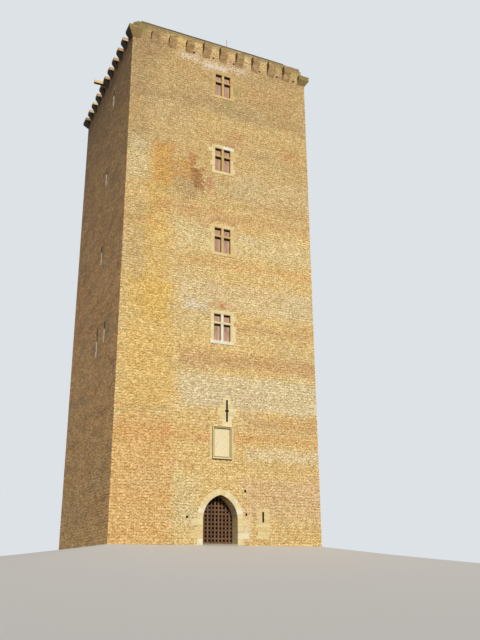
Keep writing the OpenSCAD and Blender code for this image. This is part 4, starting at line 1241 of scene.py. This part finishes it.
def coping_stones():
    """Stones 0.85 to 1.35 m long, each with its own height and lip."""
    lengths = rng.uniform(*COPING_LENGTHS, 20)
    ends = COPING_LEFT + np.concatenate([[0.0], np.cumsum(lengths)])
    ends = np.append(ends[ends < COPING_RIGHT - 0.5], COPING_RIGHT)
    stones = []
    for a, b in zip(ends + COPING_JOINT, ends[1:] - COPING_JOINT):
        lip = COPING_LIP - rng.uniform(0, 0.012)
        top = COPING_HIGH - rng.uniform(0, 0.012)
        stones.append(brick_block((a, -lip, COPING_LOW), (b, PARAPET_T + lip, top)))
    return stones


def loose_bricks(left, right, low, rise, count):
    """Bricks left on the open top of the wall from left to right: each with its own place, length and
    height, the height up to rise over low."""
    bricks = []
    for start in np.linspace(left, right - 0.12, count):
        for a, b in ((0.01, 0.16), (0.18, 0.33), (0.35, 0.49)):
            if rng.uniform() < 0.2:
                continue
            x0 = start + rng.uniform(0, 0.04)
            x1 = min(x0 + rng.uniform(0.1, 0.24), right)
            near = a + rng.uniform(0, 0.01)
            top = low + rise * rng.uniform(0.4, 1.0)
            bricks.append(brick_block((x0, near, low), (x1, b, top), rng.uniform(-1.0, 0.2)))
    return bricks


for face in ("front", "back"):
    build(face + "_coping_stones", coping_stones(), face, coping_stone, 0.01,
          stands_for=[face + "_coping"])
    bricks = [b for top in OPEN_TOPS for b in loose_bricks(*top)]
    build(face + "_crown_bricks", bricks, face, corbel_brick, 0.008)

# %% [markdown]
# ## The portcullis
# Eleven oak uprights with pointed feet stand in front of fourteen crossbars, and a forged bolt with an
# eight-sided head holds each crossing. Every bar is its own timber, so that grain and shade change from bar
# to bar. They ride on the gate's body, because the gate slides up in its grooves.

# %% Bars and bolts of the portcullis
BAR_PITCH, BAR_W = 0.25, 0.11
GATE_FRONT, BAR_MEET, GATE_BACK = 0.915, 0.985, 1.045
FOOT_Z, FOOT_H, TIP_W = 0.1003, 0.1, 0.02
CROSS_LOW, CROSSBARS, EACH_SIDE = 0.2, 14, 5
# Rings of a bolt's head: distance from the front of the bar into the gate, and radius
BOLT_RINGS = [(-0.012, 0.012), (-0.006, 0.02), (0.002, 0.022)]
gate_top = CROSS_LOW + (CROSSBARS - 1) * BAR_PITCH + BAR_W / 2
crossbar_z = CROSS_LOW + BAR_PITCH * np.arange(CROSSBARS)


def upright_bars():
    """Each upright is its front outline, a bar with a pointed foot, carried into the wall."""
    bars = []
    for i in range(-EACH_SIDE, EACH_SIDE + 1):
        x = door_x + i * BAR_PITCH
        outline = [(FOOT_Z, x - TIP_W / 2), (FOOT_Z, x + TIP_W / 2), (FOOT_Z + FOOT_H, x + BAR_W / 2),
                   (gate_top, x + BAR_W / 2), (gate_top, x - BAR_W / 2), (FOOT_Z + FOOT_H, x - BAR_W / 2)]
        bars.append(stone("into", [GATE_FRONT, BAR_MEET], outline))
    return bars


def cross_bars():
    """Each crossbar lies behind the uprights from one groove to the other."""
    reach = EACH_SIDE * BAR_PITCH + BAR_W / 2
    return [brick_block((door_x - reach, BAR_MEET, z - BAR_W / 2), (door_x + reach, GATE_BACK, z + BAR_W / 2))
            for z in crossbar_z]


def bolt_heads():
    """Each head is an eight-sided ring that narrows towards its front, 22 mm in radius and 12 mm proud."""
    angles = np.arange(8) * math.pi / 4 + math.pi / 8
    stations = [GATE_FRONT + into for into, _ in BOLT_RINGS]
    heads = []
    for x in door_x + BAR_PITCH * np.arange(-EACH_SIDE, EACH_SIDE + 1):
        for z in crossbar_z:
            rings = [[(z + r * math.cos(t), x + r * math.sin(t)) for t in angles] for _, r in BOLT_RINGS]
            heads.append(stone("into", stations, rings))
    return heads


build("gate_uprights", upright_bars(), "front", gate_upright_oak, 0.006, "gate", ["portcullis"])
build("gate_crossbars", cross_bars(), "front", gate_crossbar_oak, 0.006, "gate", ["portcullis"])
build("gate_bolts", bolt_heads(), "front", forged_iron, 0.0, "gate")

# %% [markdown]
# ## The terrace
# The roof terrace is paved with slabs of about 0.6 by 0.4 m in rows whose joints break. Their tops lie 11
# to 15 mm over the CAD floor, each with its own shade.

# %% Slabs of the roof terrace
terrace_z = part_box("roof_terrace")[1].z
inner_w, inner_d = 4.4, 3.8
SLAB_L, SLAB_W, SLAB_T, SLAB_JOINT = 0.6, 0.4, 0.015, 0.004


def terrace_slabs():
    """Rows of slabs from the front of the terrace to its back; every other row starts with half a slab."""
    slabs = []
    for row, y in enumerate(np.arange(-inner_d, inner_d - 0.01, SLAB_W)):
        near, far = y + SLAB_JOINT - front_y, min(y + SLAB_W, inner_d) - SLAB_JOINT - front_y
        for x in np.arange(-inner_w - (row % 2) * SLAB_L / 2, inner_w, SLAB_L):
            a, b = max(x, -inner_w), min(x + SLAB_L, inner_w)
            if b - a > 0.05:
                top = terrace_z + SLAB_T - rng.uniform(0, 0.004)
                slabs.append(brick_block((a + SLAB_JOINT, near, terrace_z), (b - SLAB_JOINT, far, top)))
    return slabs


build("terrace_slabs", terrace_slabs(), "front", paving_stone, 0.004)

# %% [markdown]
# ## The rod
# The rod is a painted tube with a flange at its foot, a collar at mid height and a rounded tip. It is one
# profile of (radius, height) turned about its axis: ring k is r_k * (cos t, sin t) at its height.

# %% A profile turned about the rod's axis
rod_low, rod_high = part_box("roof_rod")
rod_r = (rod_high.x - rod_low.x) / 2
foot, top, middle = rod_low.z, rod_high.z, (rod_low.z + rod_high.z) / 2
rod_profile = [
    (2.4 * rod_r, foot), (2.4 * rod_r, foot + 0.012), (1.3 * rod_r, foot + 0.02), (rod_r, foot + 0.04),
    (rod_r, middle - 0.03), (1.25 * rod_r, middle - 0.022),
    (1.25 * rod_r, middle + 0.022), (rod_r, middle + 0.03),
    (rod_r, top - 0.02), (0.7 * rod_r, top - 0.006), (0.2 * rod_r, top),
]
ROD_SIDES = 16
turns = np.arange(ROD_SIDES) * 2 * math.pi / ROD_SIDES
radii, heights = np.array(rod_profile).T
points = np.stack([
    (rod_low.x + rod_high.x) / 2 + radii[:, None] * np.cos(turns),
    (rod_low.y + rod_high.y) / 2 + radii[:, None] * np.sin(turns),
    np.repeat(heights[:, None], ROD_SIDES, axis=1),
], axis=-1).reshape(-1, 3)
rod = new_object("crown_rod", points, ring_faces(len(radii), ROD_SIDES), rod_paint)
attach(rod, "keep")
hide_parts("roof_rod")
print("crown_rod has", len(rod.data.polygons), "faces")
